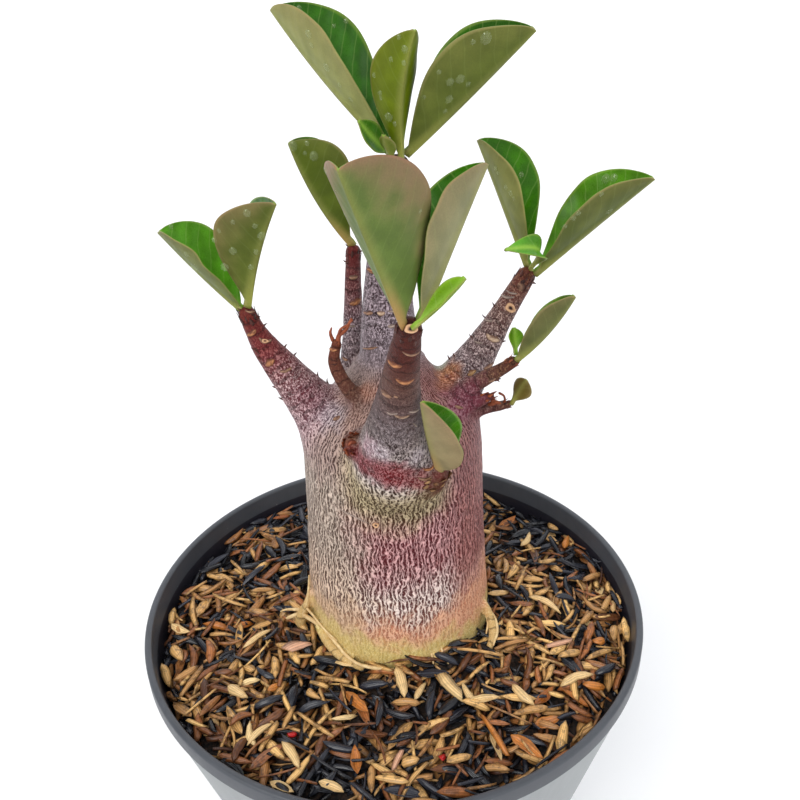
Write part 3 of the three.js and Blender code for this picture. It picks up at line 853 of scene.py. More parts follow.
def scatter_husks(piles, heap, random):
    """Husks as they fall all over the bed. A short one beside the wall lies along it."""
    names = list(HUSK_KINDS)
    shares = np.array([kind[0] for kind in HUSK_KINDS.values()])
    for pick in random.choice(len(names), HUSK_COUNT, p=shares / shares.sum()):
        _, lengths, widths, thickness, form = HUSK_KINDS[names[pick]]
        length, width = random.uniform(*lengths), random.uniform(*widths)
        x, y = spread_place(random)
        angle = random.uniform(0, 2 * math.pi)
        kind = husk_kind(random, names[pick], form, x, y)
        if not fits(x, y, angle, length) and length < SHORT_HUSK:
            angle = math.atan2(x, -y) + random.uniform(-0.2, 0.2)
        if fits(x, y, angle, length):
            lay_husk(piles, heap, random, x, y, angle, length, width, thickness, form, kind)


def lay_chosen_husks(piles, heap, random):
    """The husks that stand out, each moved inwards until it is clear of the wall."""
    for x, y, turn, length, width, form, kind in CHOSEN_HUSKS:
        turn = math.radians(turn)
        ends = [bed_place(x + side * 8 * math.cos(turn), y - side * 8 * math.sin(turn)) for side in (-1, 1)]
        middle, way = (ends[0] + ends[1]) / 2, ends[1] - ends[0]
        angle = math.atan2(way[1], way[0])
        while not fits(middle[0], middle[1], angle, length + WALL_CLEARANCE) and np.hypot(*middle[:2]) > 50:
            middle = middle * 0.985
        kind = "charred_husk" if kind == "charred" else kind
        lay_husk(piles, heap, random, middle[0], middle[1], angle, length, width, 0.7, form, kind, True)


def make_husks():
    random = np.random.default_rng(HUSK_SEED)
    heap = Heap()
    piles = {name: Gathered() for name in ("charred_husk", "charred_shard", *HUSK_LOOKS)}
    scatter_husks(piles, heap, random)
    lay_chosen_husks(piles, heap, random)
    looks = {name: husk_material(f"husk_{name}", *values) for name, values in HUSK_LOOKS.items()}
    for name, pile in piles.items():
        if pile.count:
            pile.make(f"bed_{name}", "tone_and_shade", looks[name.split("_")[0]], "husks")


# The grown body


def smooth_path(points, steps):
    """The centripetal curve of a CAD limb, with the radius as a fourth value."""
    points = np.array(points, float)
    padded = np.vstack([2 * points[0] - points[1], points, 2 * points[-1] - points[-2]])
    path = []
    for k in range(len(points) - 1):
        four = padded[k : k + 4]
        gaps = np.linalg.norm(np.diff(four[:, :3], axis=0), axis=1) ** 0.5
        first, second, third = np.maximum(gaps, 1e-6)
        before, here, after, beyond = four
        start = (here - before) / first - (after - before) / (first + second) + (after - here) / second
        end = (after - here) / second - (beyond - here) / (second + third) + (beyond - after) / third
        start, end = start * second, end * second
        bend, sway = 3 * (after - here) - 2 * start - end, 2 * (here - after) + start + end
        for t in np.arange(steps) / steps:
            path.append(here + start * t + bend * t**2 + sway * t**3)
    path.append(points[-1])
    path = np.array(path)
    path[:, 3] = np.maximum(path[:, 3], points[:, 3].min())
    return path


def shortened(path, cut):
    """The path without its last few millimetres, so that the rounded end reaches as far as the flat one."""
    places = np.concatenate([[0], np.cumsum(np.linalg.norm(np.diff(path[:, :3], axis=0), axis=1))])
    end = places[-1] - cut
    last = [np.interp(end, places, path[:, k]) for k in range(4)]
    return np.vstack([path[places < end - 0.1], last])


class Limb:
    """A tapered bent limb that knows the distance to its skin."""

    def __init__(self, name):
        self.name = name
        path = smooth_path(LIMBS[name], 8)
        if name != "caudex":
            path = shortened(path, 0.8 * path[-1, 3])
        self.path = path
        self.step = np.diff(path, axis=0)
        self.lengths = np.linalg.norm(self.step[:, :3], axis=1)
        self.starts = np.concatenate([[0], np.cumsum(self.lengths)])
        self.total = self.starts[-1]

    def end_frame(self):
        """The way ahead at the limb's end, and two directions across it."""
        forward = self.step[:, :3] / self.lengths[:, None]
        side = carried(unit(np.vstack([forward[:1], forward[1:] + forward[:-1], forward[-1:]])))[-1]
        return forward[-1], side, np.cross(forward[-1], side)

    def measure(self, points, margin):
        """For points within the margin: which they are, distance to the skin, way out and place along."""
        reach = self.path[:, 3].max() + margin
        low, high = self.path[:, :3].min(0) - reach, self.path[:, :3].max(0) + reach
        near = np.flatnonzero(((points > low) & (points < high)).all(1))
        inside = points[near]
        gap, along = np.full(len(near), float(FAR)), np.zeros(len(near))
        outward = np.zeros((len(near), 3))
        for k, (start, step) in enumerate(zip(self.path, self.step)):
            offset = inside - start[:3]
            share = np.clip(offset @ step[:3] / (self.lengths[k] ** 2), 0, 1)
            away = offset - share[:, None] * step[:3]
            found = np.linalg.norm(away, axis=1) - (start[3] + share * step[3])
            closer = found < gap
            gap[closer] = found[closer]
            outward[closer] = away[closer]
            along[closer] = self.starts[k] + share[closer] * self.lengths[k]
        return near, gap, unit(outward), along


class Trunk(Limb):
    """The thick stem: round at every height, with a shoulder that narrows to where the stems part."""

    def measure(self, points, margin):
        x, y, heights, radius = self.path.T
        inside = np.hypot(points[:, 0] - STEM_X, points[:, 1]) < radius.max() + margin + 2
        inside &= (points[:, 2] > heights[0] - margin) & (points[:, 2] < heights[-1] + margin)
        near = np.flatnonzero(inside)
        level = np.clip(points[near, 2], heights[0], heights[-1])
        middle = np.column_stack([np.interp(level, heights, x), np.interp(level, heights, y)])
        slope = np.interp(level, heights, np.gradient(radius, heights))
        away = points[near, :2] - middle
        off_axis = np.linalg.norm(away, axis=1)
        gap = (off_axis - np.interp(level, heights, radius)) / np.sqrt(1 + slope**2)
        outward = unit(np.column_stack([unit(away), -slope]))
        above = points[near, 2] - heights[-1]
        outward[above > gap] = (0, 0, 1)
        return near, np.maximum(gap, above), outward, level - heights[0]


def body_field(limbs, points):
    """Signed distance to the whole skin and the way out, with the limbs flowing into each other."""
    distance = np.full(len(points), float(FAR))
    direction = np.zeros((len(points), 3))
    for limb in limbs:
        blend = BLENDS[limb.name]
        near, gap, outward, _ = limb.measure(points, NEAR + blend)
        old = distance[near]
        share = np.clip(0.5 + 0.5 * (old - gap) / max(blend, 1e-6), 0, 1)
        distance[near] = old * (1 - share) + gap * share - blend * share * (1 - share)
        direction[near] = mixed(direction[near], outward, share)
    direction = unit(direction)
    floor = BODY_FLOOR - points[:, 2]
    direction[floor > distance] = (0, 0, -1)
    return np.maximum(distance, floor), direction


def tube(path, sides):
    """A closed tube round a path, with rounded ends."""
    rows = [0] * 3 + list(range(len(path))) + [-1] * 3
    slant = np.radians([-80, -60, -35] + [0] * len(path) + [35, 60, 80])
    centres, ahead = path[rows], unit(np.gradient(path[:, :3], axis=0))[rows]
    middles = centres[:, :3] + ahead * (centres[:, 3] * np.sin(slant))[:, None]
    radii = centres[:, 3] * np.cos(slant)
    side = carried(ahead)
    across, along = circle(sides)
    rings = []
    for middle, radius, first, second in zip(middles, radii, side, np.cross(ahead, side)):
        rings.append(middle + radius * (across * first + along * second))
    return np.concatenate(rings), strip_faces(len(rings), sides)


def evened(points, faces, voxel):
    """The outside of overlapping closed shapes as an even net of quads."""
    piece = make_mesh("rough_body", points, faces, [])
    remesh = piece.modifiers.new("voxels", "REMESH")
    remesh.mode = "VOXEL"
    remesh.voxel_size = voxel * MM
    evaluated = piece.evaluated_get(bpy.context.evaluated_depsgraph_get())
    mesh = evaluated.to_mesh()
    out = np.zeros(len(mesh.vertices) * 3)
    mesh.vertices.foreach_get("co", out)
    loops = np.zeros(len(mesh.loops), np.int32)
    mesh.loops.foreach_get("vertex_index", loops)
    quads = loops.reshape(-1, 4)
    evaluated.to_mesh_clear()
    bpy.data.objects.remove(piece)
    return out.reshape(-1, 3) / MM, quads


def relaxed(points, quads):
    """The points moved half way to the middle of their neighbours."""
    total, count = np.zeros_like(points), np.zeros(len(points))
    for k in range(4):
        for other in (quads[:, (k + 1) % 4], quads[:, (k + 3) % 4]):
            np.add.at(total, quads[:, k], points[other])
            np.add.at(count, quads[:, k], 1)
    return 0.5 * points + 0.5 * total / np.maximum(count, 1)[:, None]


def body_net(limbs):
    """Points and quads of the smooth skin: a coarse net is drawn onto it, evened out and drawn on again."""
    tubes = Gathered()
    for limb in limbs:
        sides = int(np.clip(limb.path[:, 3].max() * 6, 12, 96))
        tubes.add(*tube(limb.path, sides))
    points, faces = np.concatenate(tubes.points), tubes.faces
    for voxel, rounds in ((COARSE_VOXEL, 6), (BODY_VOXEL, 4)):
        points, faces = evened(points, faces, voxel)
        for turn in range(rounds):
            if 0 < turn < rounds - 1:
                points = relaxed(points, faces)
            distance, direction = body_field(limbs, points)
            points = points - np.clip(distance, -LONGEST_STEP, LONGEST_STEP)[:, None] * direction
    return points, faces


def bark_lift(points):
    """How far the bark swells out of the smooth skin, in millimetres."""
    return 0.12 * fractal(points / 7, 9, 3) + 0.06 * noise(points / (1.6, 1.6, 4.5), 12)


# From a pixel of the photograph to the plant


def pixel_rays(pixels):
    """Directions from the camera through pixels of the photograph."""
    across, down = (np.asarray(pixels, float) / PIXELS - 0.5).T
    flat = np.column_stack([across, -down, np.full(len(across), -LENS / SENSOR)])
    return unit(flat @ np.array(camera_turn()).T)


def skin_tree(points, quads):
    """A skin of quads, made ready for finding places on it."""
    return BVHTree.FromPolygons(points.tolist(), quads.tolist())


def pulled(skin, points):
    """The nearest places on the skin, and the outward directions there."""
    found = [skin.find_nearest(point)[:2] for point in np.asarray(points).tolist()]
    return np.array([place for place, normal in found]), np.array([normal for place, normal in found])


def on_bark(skin, pixels):
    """The places of the skin that pixels show. A pixel beside it gives the nearest place to its ray."""
    eye = np.array(CAMERA_PLACE)
    places, normals = [], []
    for ray in pixel_rays(pixels):
        place, normal = skin.ray_cast(eye.tolist(), ray.tolist())[:2]
        if place is None:
            tries = [eye + reach * ray for reach in np.linspace(LOOK_FROM, LOOK_TO, LOOK_TO - LOOK_FROM + 1)]
            found = [skin.find_nearest(spot.tolist()) for spot in tries]
            place, normal = min(found, key=lambda nearest: nearest[3])[:2]
        places.append(place)
        normals.append(normal)
    return np.array(places), np.array(normals)


def pixel_size(points):
    """Millimetres to a pixel at each point."""
    return np.linalg.norm(points - np.array(CAMERA_PLACE), axis=1) / PIXELS * SENSOR / LENS


# Bark


# Colours along each limb: share of its length, groove and ridge colour, ridges, specks, width of the ridges
LIMB_TONES = {
    "centre": [
        (0, (96, 76, 80), (206, 186, 192), 0.95, 0.76, 0.15),
        (0.35, (82, 64, 70), (196, 178, 186), 0.84, 1, 0.12),
        (0.75, (66, 44, 50), (170, 148, 156), 0.61, 1, 0.1),
        (0.93, (69, 39, 38), (138, 104, 95), 0.34, 0.65, -0.02),
        (1, (69, 29, 24), (119, 70, 55), 0.12, 0.32, -0.02),
    ],
    "left": [
        (0, (112, 83, 81), (215, 186, 181), 0.89, 0.65, 0.12),
        (0.3, (112, 62, 72), (234, 202, 206), 0.78, 1, 0.1),
        (0.6, (104, 46, 52), (228, 192, 192), 0.6, 1, 0.04),
        (0.8, (98, 28, 32), (186, 104, 98), 0.34, 0.48, -0.02),
        (1, (92, 27, 23), (155, 78, 58), 0.12, 0.27, -0.02),
    ],
    "right": [
        (0, (122, 104, 108), (236, 218, 224), 0.95, 0.87, 0.12),
        (0.45, (92, 70, 74), (212, 192, 194), 0.73, 1, 0.06),
        (0.8, (96, 62, 58), (206, 174, 162), 0.5, 0.87, -0.02),
        (1, (96, 46, 35), (179, 123, 85), 0.12, 0.32, -0.02),
    ],
    "back": [
        (0, (92, 77, 77), (184, 170, 168), 0.78, 1, 0.12),
        (0.55, (92, 70, 76), (204, 184, 190), 0.6, 1, 0.06),
        (0.78, (98, 48, 50), (196, 142, 138), 0.36, 0.65, -0.02),
        (1, (94, 27, 25), (146, 67, 52), 0.12, 0.21, -0.02),
    ],
    "front": [
        (0, (125, 69, 77), (228, 193, 195), 0.95, 0.65, 0.06),
        (0.22, (70, 52, 54), (240, 226, 226), 1, 0.5, 0.2),
        (0.42, (60, 46, 46), (200, 184, 180), 1, 0.5, 0.18),
        (0.62, (87, 69, 69), (143, 121, 119), 0.4, 0.65, 0.04),
        (0.8, (89, 56, 48), (139, 103, 90), 0.23, 0.43, -0.02),
        (0.9, (73, 29, 23), (125, 69, 56), 0.12, 0.21, -0.02),
        (1, (69, 25, 19), (116, 56, 43), 0.12, 0.21, -0.02),
    ],
    "low": [
        (0, (100, 75, 69), (186, 159, 143), 0.67, 0.87, 0.06),
        (1, (83, 42, 31), (164, 116, 78), 0.12, 0.43, -0.02),
    ],
    "twig": [
        (0, (92, 73, 71), (179, 159, 148), 0.67, 0.87, 0.06),
        (1, (87, 48, 37), (168, 125, 94), 0.12, 0.43, -0.02),
    ],
    "stub": [
        (0, (87, 46, 40), (157, 112, 90), 0.23, 0.54, -0.02),
        (1, (79, 35, 31), (130, 81, 63), 0.12, 0.32, -0.02),
    ],
    "dry": [
        (0, (108, 79, 77), (193, 168, 161), 0.67, 0.87, 0.06),
        (0.5, (96, 58, 48), (164, 121, 99), 0.23, 0.54, -0.02),
        (1, (96, 44, 29), (152, 92, 63), 0.12, 0.32, -0.02),
    ],
}
TWIG_TONES = [(0, (84, 38, 28), (140, 88, 62), 0, 0.2, 0.15)]
ROOT_TONES = [(0, (206, 168, 108), (248, 224, 170), 0.1, 0.4, 0.15)]
ROOTS = ("yellow_root", "left_knot", "right_root", "front_flap")
# The share of a limb's length from which it has its own colours and no longer the thick stem's
OWN_TONES_FROM = {"front": 0.18}
OWN_TONES_DEFAULT = 0.04
OWN_TONES_FADE = 0.14
# Stains on the bark: pixel x and y, radius in millimetres, groove colour, ridge colour and strength
STAINS = [
    (352, 452, 2.6, (98, 20, 24), (214, 144, 132), 0.88),
    (362, 462, 3.8, (104, 8, 22), (220, 142, 148), 0.95),
    (380, 472, 4.3, (106, 6, 20), (226, 150, 154), 0.95),
    (400, 478, 4.2, (108, 10, 22), (228, 156, 156), 0.95),
    (420, 481, 3.6, (108, 20, 28), (228, 168, 160), 0.9),
    (369, 447, 3.2, (176, 128, 140), (226, 198, 206), 0.8),
    (381, 452, 2.4, (196, 170, 178), (240, 226, 232), 0.7),
    (352, 437, 2.8, (128, 82, 60), (186, 142, 108), 0.5),
    (449, 372, 3.6, (178, 104, 54), (226, 158, 96), 0.75),
    (445, 386, 3.2, (170, 92, 56), (218, 146, 100), 0.5),
    (441, 366, 2.6, (150, 152, 124), (196, 202, 180), 0.7),
    (334, 381, 2.6, (150, 158, 136), (196, 206, 186), 0.8),
    (343, 396, 3.4, (140, 92, 80), (186, 146, 130), 0.4),
    (369, 391, 2.8, (162, 92, 66), (198, 140, 112), 0.45),
    (356, 422, 4.6, (128, 84, 72), (186, 150, 136), 0.5),
    (331, 414, 4.4, (134, 124, 136), (206, 198, 208), 0.45),
    (465, 400, 6.4, (112, 40, 60), (190, 132, 148), 0.8),
    (476, 424, 6.4, (104, 44, 52), (168, 118, 118), 0.8),
    (452, 418, 5.0, (112, 50, 66), (188, 140, 152), 0.7),
    (434, 452, 2.4, (176, 136, 138), (228, 204, 206), 0.7),
    (446, 440, 3.0, (132, 92, 60), (196, 158, 116), 0.6),
    (418, 457, 2.4, (180, 160, 168), (226, 212, 218), 0.6),
    (468, 462, 6.4, (108, 52, 56), (162, 110, 108), 0.7),
    (312, 397, 4.6, (112, 52, 62), (190, 140, 148), 0.6),
    (392, 434, 5.0, (92, 78, 80), (196, 184, 188), 0.5),
]


def trunk_tones(points):
    """Groove and ridge colours of the thick stem, strength of its ridges, specks and width of its ridges."""
    x, y, z = points.T
    turn = np.degrees(np.arctan2(x - STEM_X, -y))
    patch = fractal(points / 14, 31, 3, 0.6)
    fine_patch = fractal(points / 4, 47, 2, 0.6)
    # Zones round the stem
    back = smooth_step(95, 150, np.abs(turn) + 8 * patch)
    left = smooth_step(0, -42, turn + 8 * patch + 4 * fine_patch) * (1 - back)
    right = smooth_step(26, 52, turn + 8 * patch + 4 * fine_patch) * (1 - back)
    beside = np.maximum(left, back)
    # Zones by height
    rosy = right * smooth_step(142, 126, z + 3 * patch)
    high = smooth_step(160, 172, z + 2 * fine_patch) * (1 - 0.7 * right)
    hanging = z - 0.14 * np.abs(turn - 2) + 3 * patch + 2 * fine_patch
    green = smooth_step(149, 161, hanging) * smooth_step(181, 173, z) * smooth_step(44, 20, np.abs(turn - 2))
    low = smooth_step(146, 128, z + 3 * patch) * (1 - right)
    peach = smooth_step(130, 119.5, z + 2.5 * patch + 3 * fine_patch - 3.5 * right)
    yellow = smooth_step(121, 113, z + 2 * patch + 2.5 * fine_patch + 2.5 * right)
    dark, pale = srgb(104, 26, 36), srgb(234, 182, 182)
    for share, groove, ridge in (
        (left, (108, 86, 72), (220, 200, 184)),
        (right, (102, 32, 32), (196, 138, 132)),
        (rosy, (166, 104, 94), (240, 190, 176)),
        (back, (104, 84, 76), (204, 184, 172)),
    ):
        dark, pale = mixed(dark, srgb(*groove), share), mixed(pale, srgb(*ridge), share)
    dark = dark * (1 + 0.2 * fine_patch)[:, None]
    for share, groove, ridge in (
        (0.8 * high, (80, 52, 48), (176, 146, 138)),
        (green, (82, 60, 28), (216, 198, 160)),
    ):
        dark, pale = mixed(dark, srgb(*groove), share), mixed(pale, srgb(*ridge), share)
    dark = mixed(dark, srgb(126, 84, 80), 0.5 * low)
    pale = mixed(pale, mixed(srgb(254, 236, 226), srgb(240, 212, 188), left), low)
    dark = mixed(dark, mixed(srgb(216, 142, 110), srgb(194, 152, 118), beside), peach)
    pale = mixed(pale, mixed(srgb(255, 208, 172), srgb(240, 208, 174), beside), peach)
    dark = mixed(dark, srgb(216, 188, 112), yellow)
    pale = mixed(pale, srgb(254, 236, 172), yellow)
    ridges = 1 - 0.05 * left - 0.12 * right - 0.1 * high
    ridges = ridges * (1 - 0.4 * peach) * (1 - 0.5 * yellow)
    specks = 0.3 + 0.1 * left + 0.2 * right + 0.4 * high + 0.3 * peach
    width = 0.03 + 0.06 * left + 0.03 * right + 0.09 * low + 0.08 * high
    return dark, pale, ridges, specks, width


def limb_tones(name, along):
    """The same for a limb, by the share of its length."""
    stops = LIMB_TONES.get(name, ROOT_TONES if name in ROOTS else TWIG_TONES)
    dark, pale = (profile(along, [(stop[0], srgb(*stop[k])) for stop in stops]) for k in (1, 2))
    return dark, pale, *(profile(along, [(stop[0], stop[k]) for stop in stops]) for k in (3, 4, 5))


def limb_shares(limbs, points):
    """How much each limb has to say at each point, and how far along the limb the point is."""
    shares, alongs = np.zeros((2, len(limbs), len(points)))
    for row, limb in enumerate(limbs):
        near, gap, _, along = limb.measure(points, COLOUR_NEAR)
        shares[row, near] = np.exp(-np.clip(gap, -2, 20) / SHARE_FADE)
        alongs[row, near] = along / limb.total
    return shares / np.maximum(shares.sum(0), 1e-9), alongs


def paint_body(limbs, points, quads):
    """Groove and ridge colours of the bark at every point, and its ridge settings."""
    tone, pale, settings = np.zeros((3, len(points), 3))
    on_limb, reach, strongest = np.zeros((3, len(points)))
    for limb, shares, alongs in zip(limbs, *limb_shares(limbs, points)):
        used = np.flatnonzero(shares > 0.003)
        weight, along = shares[used], alongs[used]
        dark, light, *numbers = trunk_tones(points[used])
        if limb.name != "caudex":
            start = OWN_TONES_FROM.get(limb.name, OWN_TONES_DEFAULT)
            own = smooth_step(start, start + OWN_TONES_FADE, along)
            own_dark, own_light, *own_numbers = limb_tones(limb.name, along)
            dark, light = mixed(dark, own_dark, own), mixed(light, own_light, own)
            numbers = [a + (b - a) * own for a, b in zip(numbers, own_numbers)]
            on_limb[used] += weight * smooth_step(0.22, 0.4, along)
            winning = weight > strongest[used]
            reach[used[winning]] = along[winning] * limb.total
            strongest[used[winning]] = weight[winning]
        tone[used] += weight[:, None] * dark
        pale[used] += weight[:, None] * light
        settings[used] += weight[:, None] * np.column_stack(numbers)
    spots = on_bark(skin_tree(points, quads), [stain[:2] for stain in STAINS])[0]
    for spot, (_, _, radius, dark, light, strength) in zip(spots, STAINS):
        off = np.linalg.norm(points - spot, axis=1) * (1 + 0.35 * fractal(points / 2.5, 77, 2))
        share = strength * smooth_step(1.5 * radius, 0.3 * radius, off)
        tone = mixed(tone, srgb(*dark), share)
        pale = mixed(pale, srgb(*light), share)
        if strength > 0.85:
            settings[:, 0] *= 1 - 0.3 * share
            settings[:, 2] -= 0.17 * share
    return np.column_stack([tone, reach]), pale, np.column_stack([settings, on_limb])


def make_body(limbs):
    points, quads = body_net(limbs)
    tone, pale, net = paint_body(limbs, points, quads)
    normal = body_field(limbs, points)[1]
    points = points + bark_lift(points)[:, None] * normal
    piece = make_mesh("bark", points, quads, [bark_material()])
    for name, values in (("tone", tone), ("pale", pale), ("net", net)):
        paint(piece, name, values)
    place(piece, "bark", "plant_body")
    return skin_tree(points, quads)


# Millimetres between the dark rings across the limbs
RING_GAP = 3.6


def strands(look, where, stretch, scale, seed):
    """How far off two sets of long wavering lines a place is, in line widths."""
    nearest = None
    for layer in range(2):
        vector = look.vector("MULTIPLY", where, stretch)
        vector = look.vector("ADD", vector, (seed + 31 * layer,) * 3)
        lines = look.noise(vector, scale, 2, 0.55, 0.35)
        lines = look.math("ABSOLUTE", look.minus(lines, 0.5))
        nearest = lines if nearest is None else look.math("MINIMUM", nearest, lines)
    return look.times(nearest, 1 / 0.15)


def ribs(look, count, scale, sway, seed):
    """The same for two sets of upright ribs round the stem that waver across each other."""
    x, y, _ = look.split(look.place())
    turn = look.math("ARCTAN2", look.minus(x, STEM_X), look.times(y, -1.0))
    phase = look.times(turn, float(count))
    crest = None
    for layer in range(2):
        vector = look.vector("ADD", look.place((1, 1, 0.7)), (seed + 31 * layer,) * 3)
        wander = look.noise(vector, scale, 2.5, 0.55)
        wander = look.times(look.minus(wander, 0.5), sway)
        wave = look.math("SINE", look.plus(phase, wander))
        crest = wave if crest is None else look.math("MAXIMUM", crest, wave)
    return look.times(look.minus(1.0, crest), 1 / 2.2)


def blended(look, first, second, share):
    """A number between the first and the second."""
    kept = look.times(first, look.minus(1.0, share))
    return look.plus(kept, look.times(second, share))


def bark_material():
    """Waxy bark: pale raised ridges over a darker skin, with fine pale specks between them and painted shade
    deep in the grooves.
    """
    look = Shader("bark_skin", roughness=0.5, Specular_IOR_Level=0.2)
    here = look.place()
    strength, specks, width = look.split(look.painted("net"))
    on_limb = look.painted("net", "Alpha")
    trunk_net = ribs(look, count=126, scale=0.32, sway=23.0, seed=0)
    limb_net = strands(look, here, stretch=(1, 1, 0.36), scale=1.1, seed=90)
    off = blended(look, trunk_net, limb_net, on_limb)
    tremble = look.range(look.noise(here, 1.1, 3, 0.65), 0.25, 0.75, -0.16, 0.16)
    off = look.minus(off, look.plus(width, tremble))
    ridge = look.times(look.range(off, 0.26, -0.14), strength)
    grain = look.noise(look.place((1, 1, 0.7)), 2.1, 2, 0.7)
    dots = look.times(look.range(grain, 0.52, 0.57), specks)
    pale_share = look.math("MAXIMUM", ridge, look.times(dots, 0.9))
    fine = look.noise(here, 4.5, 3, 0.6)
    # Painted shade: the grooves turn towards black away from the ridges, more where the ridges are strong;
    # the same number deepens the bump.
    groove_depth_shade = look.times(look.range(off, 0.1, 0.5), look.times(strength, strength))
    groove = look.mix(look.times(groove_depth_shade, 0.5), look.painted("tone"), (0.015, 0.006, 0.006))
    dark = look.shade(groove, 0.72, 1.2, fine)
    pale = look.shade(look.painted("pale"), 0.84, 1.16, fine)
    base = look.mix(pale_share, dark, pale)
    rings = look.times(look.painted("tone", "Alpha"), 2 * math.pi / RING_GAP)
    rings = look.math("SINE", look.plus(rings, look.times(look.noise(here, 0.22, 3, 0.6), 9.0)))
    rings = look.times(look.range(rings, 0.8, 1.0), look.times(on_limb, look.range(fine, 0.3, 0.55)))
    base = look.mix(look.times(rings, 0.5), base, srgb(46, 24, 24))
    height = look.plus(pale_share, look.times(fine, 0.25))
    height = look.minus(height, look.times(rings, 0.8))
    height = look.minus(height, look.times(groove_depth_shade, 0.4))
    gloss = look.range(fine, 0.3, 0.7, 0.4, 0.58)
    return look.finish(base, look.bump(height, 0.3, 1.0), gloss)


# Marks on the bark


# Random seed of the marks, and the dark and light colour of each kind. On scars and pale lines the dark
# colour also paints the shadow at their edges.
MARK_SEED = 5
MARK_COLOURS = {
    "orange": ((88, 42, 28), (198, 136, 88)),
    "tan": ((84, 52, 42), (178, 138, 108)),
    "cream": ((104, 74, 58), (208, 178, 150)),
    "pale": ((98, 80, 74), (184, 164, 150)),
    "rust": ((96, 38, 22), (172, 92, 56)),
    "dark": ((48, 22, 18), (96, 48, 38)),
    "bud": ((104, 66, 42), (196, 156, 108)),
    "root": ((184, 140, 84), (246, 222, 170)),
}
# Arcs left by fallen leaves: pixel x and y, width, sag, turn in degrees, thickness and colour
SCARS = [
    (411, 353, 18, 4, 0, 2, "tan"), (394.5, 364, 16, 3, 24, 4.4, "orange"),
    (405, 380.5, 19, 5, 0, 3.8, "orange"), (386, 394, 13, 2, 34, 4.8, "tan"),
    (396, 396.5, 5, 0.5, 20, 3, "tan"), (392, 413, 12, 2, 8, 2.2, "pale"),
    (402, 416, 16, 3, 0, 2.6, "cream"), (414, 411, 11, 1.5, -14, 2.4, "pale"),
    (373, 270, 13, 3, 5, 3.8, "orange"), (368, 313, 10, 1.5, 4, 2.6, "tan"),
    (381, 313, 8, 2, 0, 3.2, "cream"), (396, 311, 18, 1, -4, 1.6, "pale"),
    (392, 326, 9, 1, -8, 2.6, "pale"), (370, 348, 16, 1.5, -4, 1.6, "tan"),
    (353.5, 277, 9, 2, -4, 3.4, "tan"), (355.5, 302, 13, 2, -24, 3.6, "orange"),
    (352, 326, 8, 1, 4, 1.6, "pale"), (250, 311, 11, 2, 6, 1.8, "tan"),
    (251.5, 333, 11, 2, -32, 3.2, "orange"), (265, 340, 13, 4, 8, 2.4, "tan"),
    (270, 363, 11, 1, -36, 4.6, "orange"), (286, 370, 13, 2, -20, 2.4, "tan"),
    (336.5, 418, 8, 1, -26, 3.4, "tan"), (332.5, 349, 10, 2, 18, 2.6, "orange"),
    (345, 359, 6, 1, 30, 2.6, "tan"), (493, 338, 16, 3, 26, 4, "cream"),
    (507, 296, 15, 3, 12, 1.8, "pale"), (511, 292, 13, 2, 20, 1.4, "pale"), (520, 287, 9, 0, 70, 4, "tan"),
    (488, 320, 10, 1.5, 14, 1.5, "pale"), (478, 342, 9, 1.5, 14, 1.4, "pale"),
    (489, 366, 13, 1, -32, 3.4, "tan"), (505, 359, 7, 1.5, -66, 2.4, "orange"),
    (472, 373, 10, 0.5, -30, 3, "bud"), (492, 380, 8, 1, -24, 2.6, "tan"),
    (459, 407, 9, 1, 16, 2.6, "tan"), (415, 425, 5, 0.5, 40, 1.6, "pale"),
    (429, 468, 12, 3, -20, 2.4, "orange"), (425, 478, 14, 3, -6, 2.4, "tan"),
    (441, 458, 9, 1.5, -40, 2.2, "bud"), (352, 444, 9, -2, -20, 2.6, "rust"),
    (347, 452, 9, 1, 70, 2.2, "rust"),
]
# Section of a scar: place across it, height and paleness, with a dark hollow on its upper side. Its dark
# edges, widest in that hollow, are painted shadow.
SCAR_SECTION = (
    (-1.1, -0.2, 0.1), (-0.7, 0.6, 0.7), (0, 1, 1), (0.6, 0.8, 0.8), (1.1, 0.2, 0.1), (2.0, -0.15, 0),
    (0.3, -0.6, 0),
)
# Section of a round scar from the rim inwards: share of its size, height and paleness
RIM_SECTION = (
    (1.05, -0.15, 0.0), (0.9, 0.35, 0.7), (0.7, 0.45, 1.0), (0.45, 0.2, 0.6), (0.25, 0.12, -0.3),
    (0.05, 0.1, -0.5),
)
SCAR_SIDES = 20
# Scars of a whole leaf foot: pixel x and y, width, height and turn
ROUND_SCARS = [
    (411, 329, 15, 10, 0), (510.5, 308, 13, 9, 42), (376, 525, 7, 6, 10), (265, 341, 7, 4, 10),
]
# Long pale lines: their pixels and thickness
LINES = [
    ([(322, 496), (333, 505), (347, 513), (361, 520), (373, 525)], 1.6),
    ([(307, 523), (316, 528), (329, 532), (342, 535)], 1.2), ([(309, 530), (319, 534), (331, 537)], 0.9),
]
